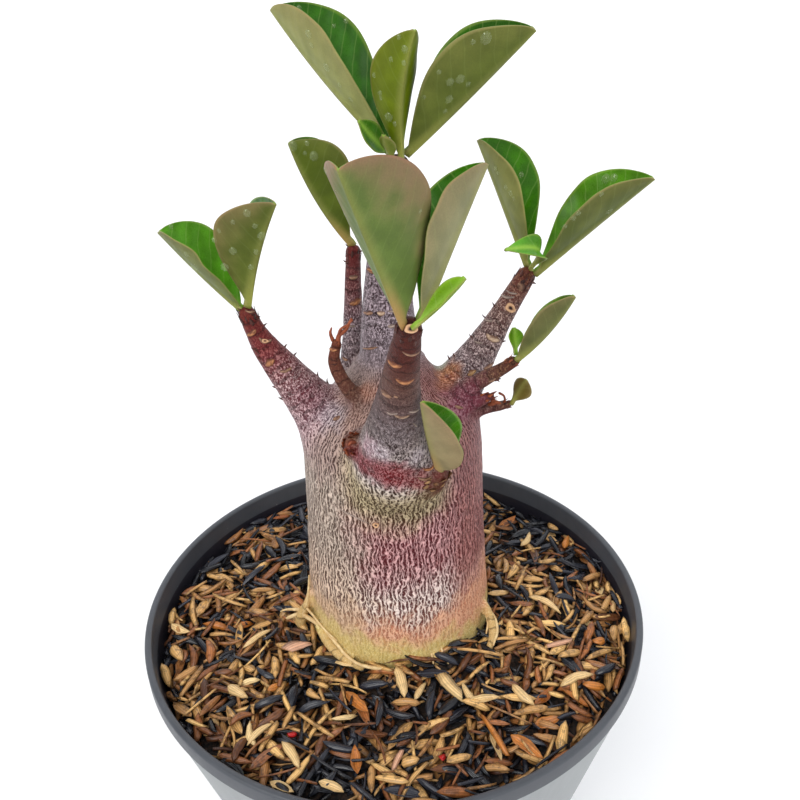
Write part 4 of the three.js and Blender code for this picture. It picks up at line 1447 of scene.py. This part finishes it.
# Dark spurs and threads: pixels of the foot and the end, and the thickness of the foot in millimetres
SPURS = [
    (252, 300, 250, 293, 0.5), (241, 309, 236, 309, 0.3), (256, 349, 250, 346, 0.4),
    (258, 352, 255, 346, 0.3), (260, 358, 256, 354, 0.3), (318, 376, 316, 370, 0.3),
    (328, 383, 325, 377, 0.35), (281, 399, 278, 395, 0.3), (258, 318, 261, 315, 0.3),
    (265, 325, 269, 322, 0.3), (335, 364, 327, 363, 0.25), (340, 333, 344, 330, 0.25),
    (450, 359, 448, 353, 0.35), (455, 356, 453, 351, 0.35), (495, 306, 493, 300, 0.3),
    (510, 345, 514, 343, 0.3), (524, 292, 528, 290, 0.3), (347, 262, 343, 258, 0.35),
    (360, 252, 364, 249, 0.3), (347, 290, 344, 288, 0.25), (268, 372, 264, 369, 0.3),
    (275, 387, 272, 384, 0.3), (301, 349, 304, 345, 0.3), (290, 341, 293, 337, 0.3),
    (472, 337, 469, 332, 0.3), (485, 317, 481, 313, 0.3), (533, 283, 537, 284, 0.35),
    (499, 382, 503, 379, 0.5), (501, 386, 505, 388, 0.4), (348, 262, 344, 265, 0.3),
    (345, 240, 341, 238, 0.3), (420, 333, 423, 329, 0.25),
]
# Bent dry twigs and threads: points in millimetres with a radius
THREADS = [
    [
        (-10.4, -10, 201, 0.8), (-9.9, -10.1, 203.2, 0.6), (-8.2, -10.4, 204.8, 0.5),
        (-6.6, -10.6, 207.6, 0.3),
    ],
    [
        (-10.2, -10, 202, 0.5), (-9.4, -10.6, 205, 0.35), (-7.6, -10.8, 206.2, 0.3),
        (-6.4, -10.8, 207.4, 0.25),
    ],
    [(-11.6, -10, 202, 0.5), (-12, -10.2, 204, 0.4), (-11.6, -10.4, 205.4, 0.2)],
    [(28.5, -3.2, 177, 1), (29.4, -3.4, 179, 0.8), (28.9, -3.8, 181, 0.6), (27.8, -4, 182.4, 0.3)],
    [(31, -3.5, 178, 0.6), (32.4, -4, 179.6, 0.35), (32.2, -4.2, 181.4, 0.3), (31, -4.4, 182.4, 0.35)],
    [(28.2, -3.4, 178, 0.9), (29.8, -3.8, 179.4, 0.7), (31.2, -4, 179.2, 0.4)],
]
# Pale strips that peel off the foot of the stem: points in millimetres with a radius
ROOT_PEELS = [
    [
        (-32.2, -8.2, 110.4, 0.5), (-28.4, -8.9, 112.4, 0.75), (-25.2, -12, 113.7, 0.7),
        (-20.6, -16.6, 113.6, 0.55), (-16.4, -21.6, 112.2, 0.5), (-13.4, -25.2, 111, 0.5),
        (-10, -28, 110.6, 0.5), (-5.5, -29.3, 110.2, 0.55), (-0.7, -29.8, 109.8, 0.45),
        (2.6, -29.8, 109, 0.3),
    ],
    [
        (-26.6, -9.6, 114.4, 0.45), (-29, -7.8, 113.2, 0.5), (-32.5, -6, 111.8, 0.35),
        (-34.5, -5.4, 110.6, 0.2),
    ],
    [
        (-25.6, -10.4, 116, 0.4), (-23.2, -13.6, 115.4, 0.35), (-20, -17.8, 114.4, 0.3),
        (-16.4, -21.4, 113.4, 0.2),
    ],
    [(-24.3, -7.6, 126, 0.25), (-24.7, -8.2, 122, 0.4), (-25.4, -9.8, 118, 0.45), (-27, -10.6, 114, 0.3)],
    [
        (28, -12.2, 114.8, 0.45), (29.8, -14, 112.8, 0.5), (30.2, -17.8, 111, 0.45),
        (28.6, -21.6, 109.4, 0.3),
    ],
    [(27.2, -12.6, 113.8, 0.45), (27.8, -15, 112.2, 0.35), (27, -18, 110.6, 0.25)],
    [(9.8, -24, 113.2, 0.35), (10.6, -25.8, 111.2, 0.4), (11, -28, 109.6, 0.25)],
    [(13, -23.6, 113, 0.3), (14, -25.8, 111, 0.35), (15.2, -27.8, 109.4, 0.25)],
]
# Scales that wrap the ends of stems and the buds: limb, number, reach back, length, width and colour
SCALES = [
    ("centre", 16, 3.5, 2.2, 1.4, "dark"), ("left", 15, 2.6, 2.2, 1.1, "dark"),
    ("right", 16, 3.0, 2.2, 1.2, "dark"), ("back", 13, 2.6, 2.0, 1.0, "dark"),
    ("front", 15, 2.2, 1.8, 1.3, "dark"), ("low", 9, 1.8, 1.6, 0.9, "rust"),
    ("twig", 9, 3.0, 1.8, 0.9, "dark"), ("stub", 9, 3.0, 1.8, 1.0, "rust"),
    ("dry", 8, 2.5, 1.6, 0.9, "rust"), ("front_bud", 15, 5.5, 2.6, 1.8, "bud"),
    ("old_bud", 13, 3.0, 1.9, 1.4, "rust"),
]


def unbroken(points, pixels):
    """The part of a line round its middle where the bark doesn't jump from one limb to another."""
    steps = np.linalg.norm(np.diff(points, axis=0), axis=1)
    drawn = np.linalg.norm(np.diff(pixels, axis=0), axis=1) * pixel_size(points[1:])
    jumps = np.flatnonzero(steps > 3 * drawn + 0.5)
    middle = len(points) // 2
    start = max([0, *(jump + 1 for jump in jumps if jump < middle)])
    end = min([len(points), *(jump + 1 for jump in jumps if jump >= middle)])
    return slice(start, end)


def draped_line(skin, marks, pixels, thickness, colours, height=0.25):
    """A raised line that follows the bark under a row of pixels, thickest in the middle, with painted shadow
    at its edges.
    """
    points, normals = on_bark(skin, pixels)
    kept = unbroken(points, pixels)
    points, normals = points[kept], normals[kept]
    if len(points) < 3:
        return
    side = np.cross(normals, unit(np.gradient(points, axis=0)))
    share = np.linspace(-1, 1, len(points))
    body = np.sqrt(np.maximum(0, 1 - share**2)) * 0.9 + 0.1
    half = 0.6 * thickness * pixel_size(points) * body
    dark, light = srgb(*colours[0]), srgb(*colours[1])
    rows, tones = [], []
    wobble = 1 + 0.25 * noise(points / 1.3, 8)
    for off, rise, tone in SCAR_SECTION:
        out = (off * half * wobble)[:, None] * side
        rows.append(points + out + (rise * height * body)[:, None] * normals)
        # A paleness of 0 gives the dark colour, which at the crest's edges is painted shadow; the noise
        # lowers the paleness at random.
        worn = np.clip(0.62 + 0.9 * noise(points / 0.8 + off, 4), 0.05, 1) * (1 - 0.5 * share**4)
        tones.append(mixed(dark, light, tone * worn))
    mesh_points = np.stack(rows, 1).reshape(-1, 3)
    marks.add(mesh_points, strip_faces(len(points), len(rows)), np.stack(tones, 1).reshape(-1, 3))


def arc_pixels(x, y, width, sag, turn):
    """Pixels of an arc that hangs down in the middle, turned clockwise."""
    share = np.linspace(-1, 1, 11)
    across, down = share * width / 2, sag * (0.6 - share**2)
    angle = math.radians(turn)
    return np.column_stack([
        x + across * math.cos(angle) - down * math.sin(angle),
        y + across * math.sin(angle) + down * math.cos(angle),
    ])


def round_scar(skin, marks, x, y, width, height, turn):
    """A pale rim round a pit where a leaf has come off."""
    middle, normal = (found[0] for found in on_bark(skin, [(x, y)]))
    right = np.array(camera_turn())[:, 0]
    side = unit(right - normal * (right @ normal))
    rise = np.cross(normal, side)
    angle = math.radians(turn)
    first = math.cos(angle) * side - math.sin(angle) * rise
    second = math.sin(angle) * side + math.cos(angle) * rise
    points, colours = [], []
    dark, light = srgb(118, 66, 46), srgb(218, 174, 134)
    turns = np.linspace(0, 2 * math.pi, SCAR_SIDES, endpoint=False)[:, None]
    wobble = 1 + 0.08 * np.sin(3 * turns + x) + 0.05 * np.sin(5 * turns + y)
    edge = width / 2 * np.cos(turns) * first + height / 2 * np.sin(turns) * second
    edge = edge * wobble * pixel_size(middle[None])[0]
    for share, lift, tone in RIM_SECTION:
        spots, normals = pulled(skin, middle + share * edge)
        points.append(spots + lift * normals)
        colours.append(np.tile(np.maximum(0.004, mixed(dark, light, tone)), (SCAR_SIDES, 1)))
    marks.add(np.concatenate(points), strip_faces(len(RIM_SECTION), SCAR_SIDES), np.concatenate(colours))


def thread(marks, path, sides, colours):
    """A thin bent thread or twig."""
    points, faces = tube(smooth_path(path, 5), sides)
    share = np.clip(0.5 + 0.5 * noise(points / 0.8, 3), 0, 1)
    marks.add(points, faces, mixed(srgb(*colours[0]), srgb(*colours[1]), share))


def spur(skin, marks, x, y, end_x, end_y, thickness):
    """A tiny dark thorn from the bark at one pixel towards another."""
    foot, normal = (found[0] for found in on_bark(skin, [(x, y)]))
    right, up = np.array(camera_turn()).T[:2]
    size = pixel_size(foot[None])[0]
    away = (end_x - x) * right + (y - end_y) * up
    away = unit(away + 0.5 * np.linalg.norm(away) * normal)
    tip = foot + 0.75 * size * math.hypot(end_x - x, end_y - y) * away
    middle = (foot + tip) / 2 + 0.12 * np.linalg.norm(tip - foot) * np.cross(away, (0, 1, 0))
    path = [(*(foot - 0.4 * away), thickness), (*middle, 0.6 * thickness), (*tip, 0.15 * thickness)]
    thread(marks, path, 6, MARK_COLOURS["dark"])


def scales_round(skin, limbs, marks, random, name, count, back, length, width, colour):
    """Pointed scales that stand round the end of a limb."""
    limb = next(limb for limb in limbs if limb.name == name)
    dark, light = (srgb(*c) for c in MARK_COLOURS[colour])
    forward, across, other = limb.end_frame()
    for k in range(count):
        along = limb.total - back * (k / count) ** 1.2
        centre = [np.interp(along, limb.starts, limb.path[:, axis]) for axis in range(4)]
        angle = 2.4 * k + random.uniform(-0.3, 0.3)
        out = math.cos(angle) * across + math.sin(angle) * other
        foot, normal = (found[0] for found in pulled(skin, [centre[:3] + centre[3] * out]))
        side = unit(np.cross(forward, normal))
        reach, half = length * random.uniform(0.6, 1.1), width / 2 * random.uniform(0.8, 1.2)
        splay = random.uniform(-0.05, 0.3)
        rows = []
        for share, spread in ((0, 0.9), (0.35, 1.0), (0.7, 0.6), (1, 0.06)):
            middle = foot - 0.15 * normal + share * reach * forward + splay * share**2 * reach * normal
            for s, lift in ((-1, 0), (0, 0.28), (1, 0), (0, 0.04)):
                rows.append(middle + s * spread * half * side + lift * (1 - 0.6 * share) * normal)
        tone = random.uniform(0, 1) * np.ones(len(rows)) * np.repeat([0.6, 1, 0.8, 0.5], 4)
        marks.add(rows, strip_faces(4, 4), mixed(dark, light, tone))


def mark_material(name, roughness, low, high):
    """Dry corky skin with a fine grain."""
    look = Shader(name, roughness=roughness, Specular_IOR_Level=0.35)
    here = look.place()
    grain = look.noise(here, 2.6, 3, 0.65)
    base = look.shade(look.painted("mark_colour"), low, high, grain)
    gloss = look.range(grain, 0.3, 0.7, roughness - 0.08, roughness + 0.08)
    return look.finish(base, look.bump(grain, 0.15, 0.8), gloss)


def make_marks(skin, limbs):
    random = np.random.default_rng(MARK_SEED)
    scars, dry, scales, peels = (Gathered() for _ in range(4))
    for x, y, width, sag, turn, thickness, colour in SCARS:
        draped_line(skin, scars, arc_pixels(x, y, width, sag, turn), thickness, MARK_COLOURS[colour])
    for scar in ROUND_SCARS:
        round_scar(skin, scars, *scar)
    for pixels, thickness in LINES:
        draped_line(skin, scars, pixels, thickness, MARK_COLOURS["pale"], 0.2)
    for path in THREADS:
        thread(dry, path, 8, MARK_COLOURS["rust"])
    for path in ROOT_PEELS:
        thread(peels, path, 8, MARK_COLOURS["root"])
    for one in SPURS:
        spur(skin, dry, *one)
    for one in SCALES:
        scales_round(skin, limbs, scales, random, *one)
    for marks, name, *look in (
        (scars, "leaf_scars", "scar_cork", 0.55, 0.84, 1.14),
        (dry, "dry_threads", "dry_thread", 0.6, 0.8, 1.2),
        (scales, "tip_scales", "bud_scale", 0.5, 0.75, 1.25),
        (peels, "root_peels", "root_skin", 0.5, 0.8, 1.15),
    ):
        marks.make(name, "mark_colour", mark_material(*look), "bark")


# Leaves


# Leaves: base and tip, the way the upper face looks, width, fold in degrees, sag, bow to the side,
# the outline's place of greatest width and fullness, colours of the upper and the under face,
# and how much of the under face blushes mauve from the margin
LEAVES = {
    "leaf_top_left": (
        (4.7, 2.8, 244.6), (-21.4, 12, 274.9), (0.68, -0.27, 0.68), 27, 51, 0.03, 0, (1.5, 0.65),
        (43, 95, 2), (144, 148, 84), 0.35,
    ),
    "leaf_top_front": (
        (7.2, -1, 245), (10.6, -12, 272.3), (-0.25, 0.9, 0.36), 18, 54, 0, 0.05, (1.3, 0.75),
        (68, 109, 6), (97, 112, 4), 0.1,
    ),
    "leaf_top_right": (
        (8.6, 1.8, 244.6), (36.1, -6, 270.2), (-0.66, 0.03, 0.75), 26, 58, 0.01, 0, (1.3, 0.75),
        (43, 93, 2), (93, 104, 38), 0.15,
    ),
    "leaf_top_small": (
        (4, 0.2, 244.2), (-2.1, -8, 252.6), (0.7, -0.7, 0.16), 6, 20, 0.05, 0, (1.1, 0.8),
        (60, 113, 16), (91, 118, 28), 0.1,
    ),
    "leaf_top_bud": (
        (4.9, -1.3, 244.4), (3.2, -7, 249.9), (0.37, 0.63, 0.68), 4, 20, 0.05, 0, (1.1, 0.8),
        (78, 120, 25), (95, 114, 28), 0.2,
    ),
    "leaf_back": (
        (-6.6, 15.4, 219), (-20.1, 12, 245.7), (0.82, 0.38, 0.44), 24, 58, 0.05, 0, (1.8, 0.65),
        (56, 103, 8), (80, 95, 21), 0.1,
    ),
    "leaf_front_large": (
        (5.6, -50.6, 223.4), (-3.4, -67.6, 256), (0.19, 0.84, 0.5), 30, 56, 0, 0, (1.3, 0.65),
        (60, 109, 16), (94, 114, 50), 1.0,
    ),
    "leaf_front_right": (
        (8.9, -48.5, 222.9), (21.9, -42, 249.8), (-0.89, -0.05, 0.45), 20, 43, 0, 0, (1.5, 0.7),
        (43, 95, 0), (136, 134, 94), 0.45,
    ),
    "leaf_front_small": (
        (8, -51.4, 222.6), (17.4, -52, 231.8), (-0.62, -0.45, 0.65), 5, 42, 0.04, 0, (1.6, 0.7),
        (113, 159, 16), (106, 137, 19), 0,
    ),
    "leaf_left_outer": (
        (-34.6, -3.6, 209.8), (-51.8, -3, 229.6), (0.74, -0.18, 0.64), 20, 45, 0.02, 0, (1.5, 0.55),
        (81, 140, 29), (101, 112, 48), 0.2,
    ),
    "leaf_left_inner": (
        (-32.4, -4.6, 210.2), (-21.8, -13, 236.7), (-0.76, 0.45, 0.47), 22, 58, -0.03, 0, (1.5, 0.7),
        (60, 111, 16), (86, 97, 32), 0.5,
    ),
    "leaf_right_upper": (
        (38.8, 5, 214.6), (26.3, 10, 245), (0.82, -0.4, 0.41), 23, 45, 0, 0, (1.5, 0.65),
        (52, 107, 0), (120, 127, 60), 0.2,
    ),
    "leaf_right_outer": (
        (41, 3.4, 213.8), (66.4, -3, 237.8), (-0.67, 0, 0.74), 22, 50, 0, 0, (1.4, 0.75),
        (70, 120, 12), (86, 97, 34), 0.2,
    ),
    "leaf_right_curled": (
        (39, 2, 214.4), (31.1, -8, 222.6), (0.81, -0.3, 0.51), 7, 25, -0.35, 0, (1.45, 0.8),
        (80, 140, 36), (106, 124, 54), 0.1,
    ),
    "leaf_low": (
        (34.9, -9.5, 195.4), (47.6, -12, 212.3), (-0.7, 0.32, 0.64), 12, 52, 0.05, 0, (1.2, 0.75),
        (74, 109, 25), (93, 97, 51), 0.25,
    ),
    "leaf_low_small": (
        (34.1, -8.3, 196), (33.7, -6, 201.6), (0.37, -0.86, 0.36), 4.5, 30, 0.02, 0, (1.45, 0.8),
        (91, 140, 10), (95, 127, 13), 0,
    ),
    "leaf_twig": (
        (34.6, -4.1, 179.6), (37.8, -5, 186.3), (0.74, 0.61, -0.3), 6.5, 15, 0.03, 0, (1.45, 0.8),
        (97, 91, 23), (99, 86, 32), 0.2,
    ),
    "leaf_bud": (
        (13.6, -31, 176.6), (9.4, -43.4, 201.4), (0.97, -0.1, 0.12), 16, 62, 0.02, 0, (0.85, 0.8),
        (62, 122, 16), (150, 137, 101), 0.6,
    ),
}
# Thickness of a CAD leaf, how deep a stalk goes into its limb, and the net's spacing along and across a leaf
CAD_LEAF = 0.8
STALK_SINK = 1.0
NET_ALONG = 0.55
NET_ACROSS = 1.1
# Millimetres between side veins, and the lengths that count as 1 in the painted place on a leaf
VEIN_GAP = 4.2
PLACE_LENGTH = 40
PLACE_WIDTH = 20
# Colour of the foot of the midrib where it isn't green
FOOT_TONES = {"leaf_front_large": (188, 136, 88), "leaf_back": (182, 148, 84), "leaf_bud": (184, 144, 96)}


class Blade:
    """A leaf's folded surface, from its base to its tip and from margin to margin."""

    def __init__(self, name):
        base, tip, face, self.width, fold, self.sag, self.bow, self.outline, *self.tones = LEAVES[name]
        self.name = name
        self.seed = len(name) + int(abs(tip[0] * 10))
        self.base = np.array(base, float)
        self.length = np.linalg.norm(tip - self.base)
        self.axis = unit(tip - self.base)
        self.face = unit(face - self.axis * (face @ self.axis))
        self.side = np.cross(self.axis, self.face)
        self.fold = math.radians(fold)
        self.base += self.seat()

    def seat(self):
        """The move that puts the blade where its CAD node is."""
        steps, halves = (10, 2) if self.width > 10 else (6, 1)
        grid = np.meshgrid(np.linspace(0, 1, steps + 1), np.linspace(-1, 1, 2 * halves + 1), indexing="ij")
        along, across = (numbers.ravel() for numbers in grid)
        points, lift = self.plain(along, across)
        turn, lift = np.sign(across)[:, None], lift[:, None]
        sink = np.where(turn == 0, 1 / np.cos(lift), np.cos(lift))
        under = points + CAD_LEAF * (turn * np.sin(lift) * self.side - sink * self.face)
        both = np.concatenate([points, under])
        low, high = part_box(self.name)
        return (np.array(low) + np.array(high)) / 2 / MM - (both.min(0) + both.max(0)) / 2

    def half_width(self, along):
        place, fullness = self.outline
        wave = np.maximum(np.sin(np.pi * np.clip(along, 0, 1) ** place), 0)
        stalk = 0.45 + 0.016 * self.width
        return np.maximum(self.width / 2 * wave**fullness, stalk + (0.5 - stalk) * along)

    def plain(self, along, across):
        """The CAD leaf's upper face and its slant. along runs from 0 to 1 and across from -1 to 1."""
        arch = 4 * along * (1 - along) * self.length
        half = self.half_width(along)
        lift = self.fold * (1 + 0.1 * (1 - np.abs(across)))
        points = self.base + (along * self.length)[:, None] * self.axis
        points = points + (half * np.abs(across) * np.sin(lift) - self.sag * arch)[:, None] * self.face
        points = points + (half * across * np.cos(lift) + self.bow * arch)[:, None] * self.side
        return points, lift

    def surface(self, along, across):
        """Points of the upper face, with a wavy margin and bellied halves."""
        points, lift = self.plain(along, across)
        out = np.abs(across)
        grown = self.half_width(along) / (self.width / 2)
        place = np.column_stack([along * 4.2 + self.seed, np.sign(across) * 3, np.full(len(along), 0.5)])
        wave = noise(place, 71) * out**2 * grown * 0.9 * min(1, self.width / 20)
        belly = 0.07 * self.width / 2 * np.sin(np.pi * out) * grown
        normal = np.cos(lift)[:, None] * self.face - (np.sign(across) * np.sin(lift))[:, None] * self.side
        return points + (wave - belly)[:, None] * normal

    def normals(self, along, across):
        """The upper face's direction, by small steps."""
        step = 0.004
        back, front = np.maximum(along - step, 0), np.minimum(along + step, 1)
        left, right = np.maximum(across - step, -1), np.minimum(across + step, 1)
        ahead = self.surface(front, across) - self.surface(back, across)
        normal = unit(np.cross(ahead, self.surface(along, right) - self.surface(along, left)))
        return np.where((normal @ self.face)[:, None] < 0, -normal, normal)


def leaf_thickness(width, along, across, half):
    """Thick along the midrib, most of all at the stalk, and thin at the margin."""
    off = np.abs(across) * half
    rib = (0.35 + 0.75 * (1 - along) ** 1.5) * min(1, 0.35 + width / 30)
    blade = 0.42 * (1 - 0.45 * np.abs(across) ** 3)
    return blade + rib * np.exp(-((off / 0.75) ** 2))


def leaf_colours(blade, along, across, half, upper):
    """Colour of one face of a leaf at each point."""
    top, under, blush = blade.tones
    out = np.abs(across)
    off = out * half
    mottle = fractal(blade.surface(along, across) / 5, 21, 3, 0.55)
    rib = np.exp(-((off / (0.5 + 0.5 * (1 - along))) ** 2))
    edge = smooth_step(half - 0.35, half - 0.05, off)
    base = np.array(srgb(*(top if upper else under)))
    light = smooth_step(-0.6, 0.9, mottle)
    if upper:
        colour = mixed(base * 0.75, base * 1.3, light)
        colour = mixed(colour, srgb(150, 188, 74), 0.75 * rib)
        return mixed(colour, srgb(150, 166, 80), 0.5 * edge)
    colour = mixed(base * 0.85, base * 1.12, light)
    mauve = blush * smooth_step(0.35, 1.15, out * 0.7 + 0.6 * along - 0.1 + 0.18 * mottle)
    colour = mixed(colour, srgb(134, 108, 80), mauve)
    colour = mixed(colour, srgb(152, 152, 84), 0.5 * rib)
    foot = smooth_step(0.4, 0.05, along)
    colour = mixed(colour, srgb(*FOOT_TONES.get(blade.name, (146, 148, 66))), 0.7 * rib * foot)
    colour = mixed(colour, srgb(168, 156, 104), 0.4 * edge)
    return mixed(colour, srgb(152, 96, 78), 0.6 * blush * edge * smooth_step(0.45, 0.8, along))


def leaf_net(blade):
    """Points, quads, material ids, colours and leaf coordinates of a whole leaf."""
    rows = int(np.clip(blade.length / NET_ALONG, 24, 72))
    halves = int(np.clip(blade.width / NET_ACROSS, 5, 16))
    spread = np.linspace(0, 1, rows + 1)
    along = 0.5 * spread + 0.5 * (1 - np.cos(np.pi * spread)) / 2
    reach = np.linspace(-1, 1, 2 * halves + 1)
    reach = np.sign(reach) * (0.75 * np.abs(reach) + 0.25 * np.abs(reach) ** 2)
    t, s = (grid.ravel() for grid in np.meshgrid(along, reach, indexing="ij"))
    half = blade.half_width(t)
    upper = blade.surface(t, s)
    ridge = np.exp(-((np.abs(s) * half / 0.8) ** 2))
    normal = unit(mixed(blade.normals(t, s), blade.face, ridge))
    lower = upper - leaf_thickness(blade.width, t, s, half)[:, None] * normal
    stalk = t < 1e-6
    for skin in (upper, lower):
        skin[stalk] -= STALK_SINK * blade.axis
    columns = 2 * halves + 1
    count = len(upper)
    quads, ids = [], []
    for row in range(rows):
        for k in range(columns - 1):
            a = row * columns + k
            quads.append((a, a + 1, a + columns + 1, a + columns))
            quads.append((count + a, count + a + columns, count + a + columns + 1, count + a + 1))
            ids += [0, 1]
        a, b = row * columns, row * columns + columns - 1
        quads.append((a, a + columns, count + a + columns, count + a))
        quads.append((b + columns, b, count + b, count + b + columns))
        ids += [1, 1]
    for k in range(columns - 1):
        last = rows * columns
        quads.append((k + 1, k, count + k, count + k + 1))
        quads.append((last + k, last + k + 1, count + last + k + 1, count + last + k))
        ids += [1, 1]
    colours = np.concatenate([leaf_colours(blade, t, s, half, True), leaf_colours(blade, t, s, half, False)])
    place = np.column_stack([t * blade.length / PLACE_LENGTH, np.abs(s) * half / PLACE_WIDTH, 0.5 + 0.5 * s])
    return np.concatenate([upper, lower]), np.array(quads), ids, colours, np.concatenate([place, place])


def leaf_material(name, roughness, vein_light, mottle_low, mottle_high, bump):
    """A leaf face: painted colour, side veins that leave the midrib at a slant, and fine pores."""
    look = Shader(name, roughness=roughness, Specular_IOR_Level=0.16)
    here = look.place()
    base = look.painted("leaf_colour")
    along, off, _ = look.split(look.painted("leaf_place"))
    sway = look.range(look.noise(here, 0.1, 2), 0.3, 0.7, -0.022, 0.022)
    slanted = look.minus(along, look.times(off, 0.42))
    phase = look.times(look.plus(slanted, sway), 2 * math.pi * PLACE_LENGTH / VEIN_GAP)
    wave = look.math("SINE", phase)
    vein = look.range(wave, 0.93, 1.0)
    base = look.mix(look.times(vein, vein_light), base, srgb(168, 188, 112))
    pores = look.noise(here, 3.2, 3, 0.6)
    base = look.shade(base, mottle_low, mottle_high, pores)
    height = look.plus(look.times(wave, 0.5), look.times(pores, 0.3))
    gloss = look.range(pores, 0.3, 0.7, roughness - 0.06, roughness + 0.08)
    return look.finish(base, look.bump(height, bump, 0.6), gloss)


# Water drops: pixel x and y, and radius in pixels
DROPS = [
    (309, 34, 4), (312, 45, 2.5), (327, 67, 4), (340, 85, 2.5), (351, 99, 2.5), (299, 8, 2.5),
    (346, 21, 2.5), (334, 26, 2), (399, 37, 2.5), (405, 49, 3.5), (391, 59, 2.5), (404, 63, 2.5),
    (374, 75, 2.5), (380, 93, 2.5), (381, 98, 2), (389, 117, 4.5), (395, 124, 2.5), (486, 38, 5.5),
    (473, 42, 2.5), (439, 72, 2.5), (450, 82, 4), (460, 79, 4.5), (468, 84, 2.5), (449, 99, 4),
    (424, 97, 2), (445, 111, 2.5), (293, 146, 4.5), (307, 143, 2.5), (314, 156, 4.5), (305, 153, 2),
    (326, 170, 3.5), (336, 191, 2.5), (346, 216, 2), (247, 213, 4), (233, 222, 2.5), (255, 226, 3),
    (219, 231, 2.5), (214, 240, 2.5), (233, 251, 4), (225, 267, 4.5), (262, 236, 4.5), (256, 252, 3),
    (251, 267, 3), (171, 227, 2.5), (187, 254, 3), (195, 267, 4.5), (420, 211, 2.5), (496, 168, 2.5),
    (498, 173, 2), (506, 187, 2.5), (511, 193, 3), (514, 198, 2), (521, 175, 3), (606, 179, 4.5),
    (614, 178, 4), (601, 194, 2.5), (578, 213, 3), (573, 218, 3), (565, 226, 2.5), (609, 211, 3.5),
]
# Rows of points of a drop: share of its radius and height
DROP_ROWS = (
    (1.0, -0.1), (0.97, 0.12), (0.88, 0.28), (0.72, 0.42), (0.5, 0.52), (0.26, 0.58), (0.04, 0.6),
)


def make_drops(leaves):
    """Water drops that sit on the leaves, each with a painted highlight on its side towards the key light
    and the camera.
    """
    drops, sides = Gathered(), 16
    found, normals = on_bark(leaves, [drop[:2] for drop in DROPS])
    towards_light = unit((-0.45, -0.5, 1.0))
    across, along = circle(sides)
    for (*_, radius), spot, normal in zip(DROPS, found, normals):
        to_eye = np.array(CAMERA_PLACE) - spot
        normal = normal if normal @ to_eye > 0 else -normal
        reach = radius * pixel_size(spot[None])[0]
        side = unit(np.cross(normal, (0.2, 0.3, 1)))
        flat = across * side + along * np.cross(normal, side) * 1.12
        dome = np.concatenate([share * flat + lift * normal for share, lift in DROP_ROWS])
        # Painted highlight: points that face halfway between the key light and the camera are marked for the
        # material.
        painted_highlight = unit(dome + 0.4 * normal) @ unit(towards_light + unit(to_eye))
        drops.add(spot + reach * dome, strip_faces(len(DROP_ROWS), sides), painted_highlight[:, None])
    look = Shader("water", roughness=0.02, IOR=1.33, Specular_IOR_Level=1.0)
    haze = look.noise(look.place(), 0.6, 2)
    highlight_here = look.split(look.painted("painted_highlight"))[0]
    # Painted highlight: the marked points turn from nearly clear to mostly opaque and pale.
    look.feed(look.bsdf.inputs["Alpha"], look.range(highlight_here, 0.976, 0.998, 0.16, 0.7))
    base = look.shade(srgb(186, 200, 150), 0.94, 1.0, haze)
    material = look.finish(base, roughness=look.range(haze, 0.3, 0.7, 0.01, 0.05))
    drops.make("dew_drops", "painted_highlight", material, "leaf")


def make_leaves():
    faces = [
        leaf_material("leaf_upper_face", 0.3, 0.13, 0.9, 1.1, 0.08),
        leaf_material("leaf_under_face", 0.5, 0.05, 0.88, 1.1, 0.06),
    ]
    all_points, all_quads, count = [], [], 0
    for name in LEAVES:
        points, quads, ids, colours, coordinates = leaf_net(Blade(name))
        piece = make_mesh(name.replace("leaf_", "blade_"), points, quads, faces, material_ids=ids)
        paint(piece, "leaf_colour", colours)
        paint(piece, "leaf_place", coordinates)
        place(piece, "leaf", name)
        all_points.append(points)
        all_quads.append(quads + count)
        count += len(points)
    return skin_tree(np.concatenate(all_points), np.concatenate(all_quads))


make_camera()
make_lights()
make_floor()
make_pot()
make_bed_floor()
make_husks()
body_limbs = [Trunk(name) if name == "caudex" else Limb(name) for name in LIMBS]
bark = make_body(body_limbs)
make_marks(bark, body_limbs)
leaves = make_leaves()
make_drops(leaves)
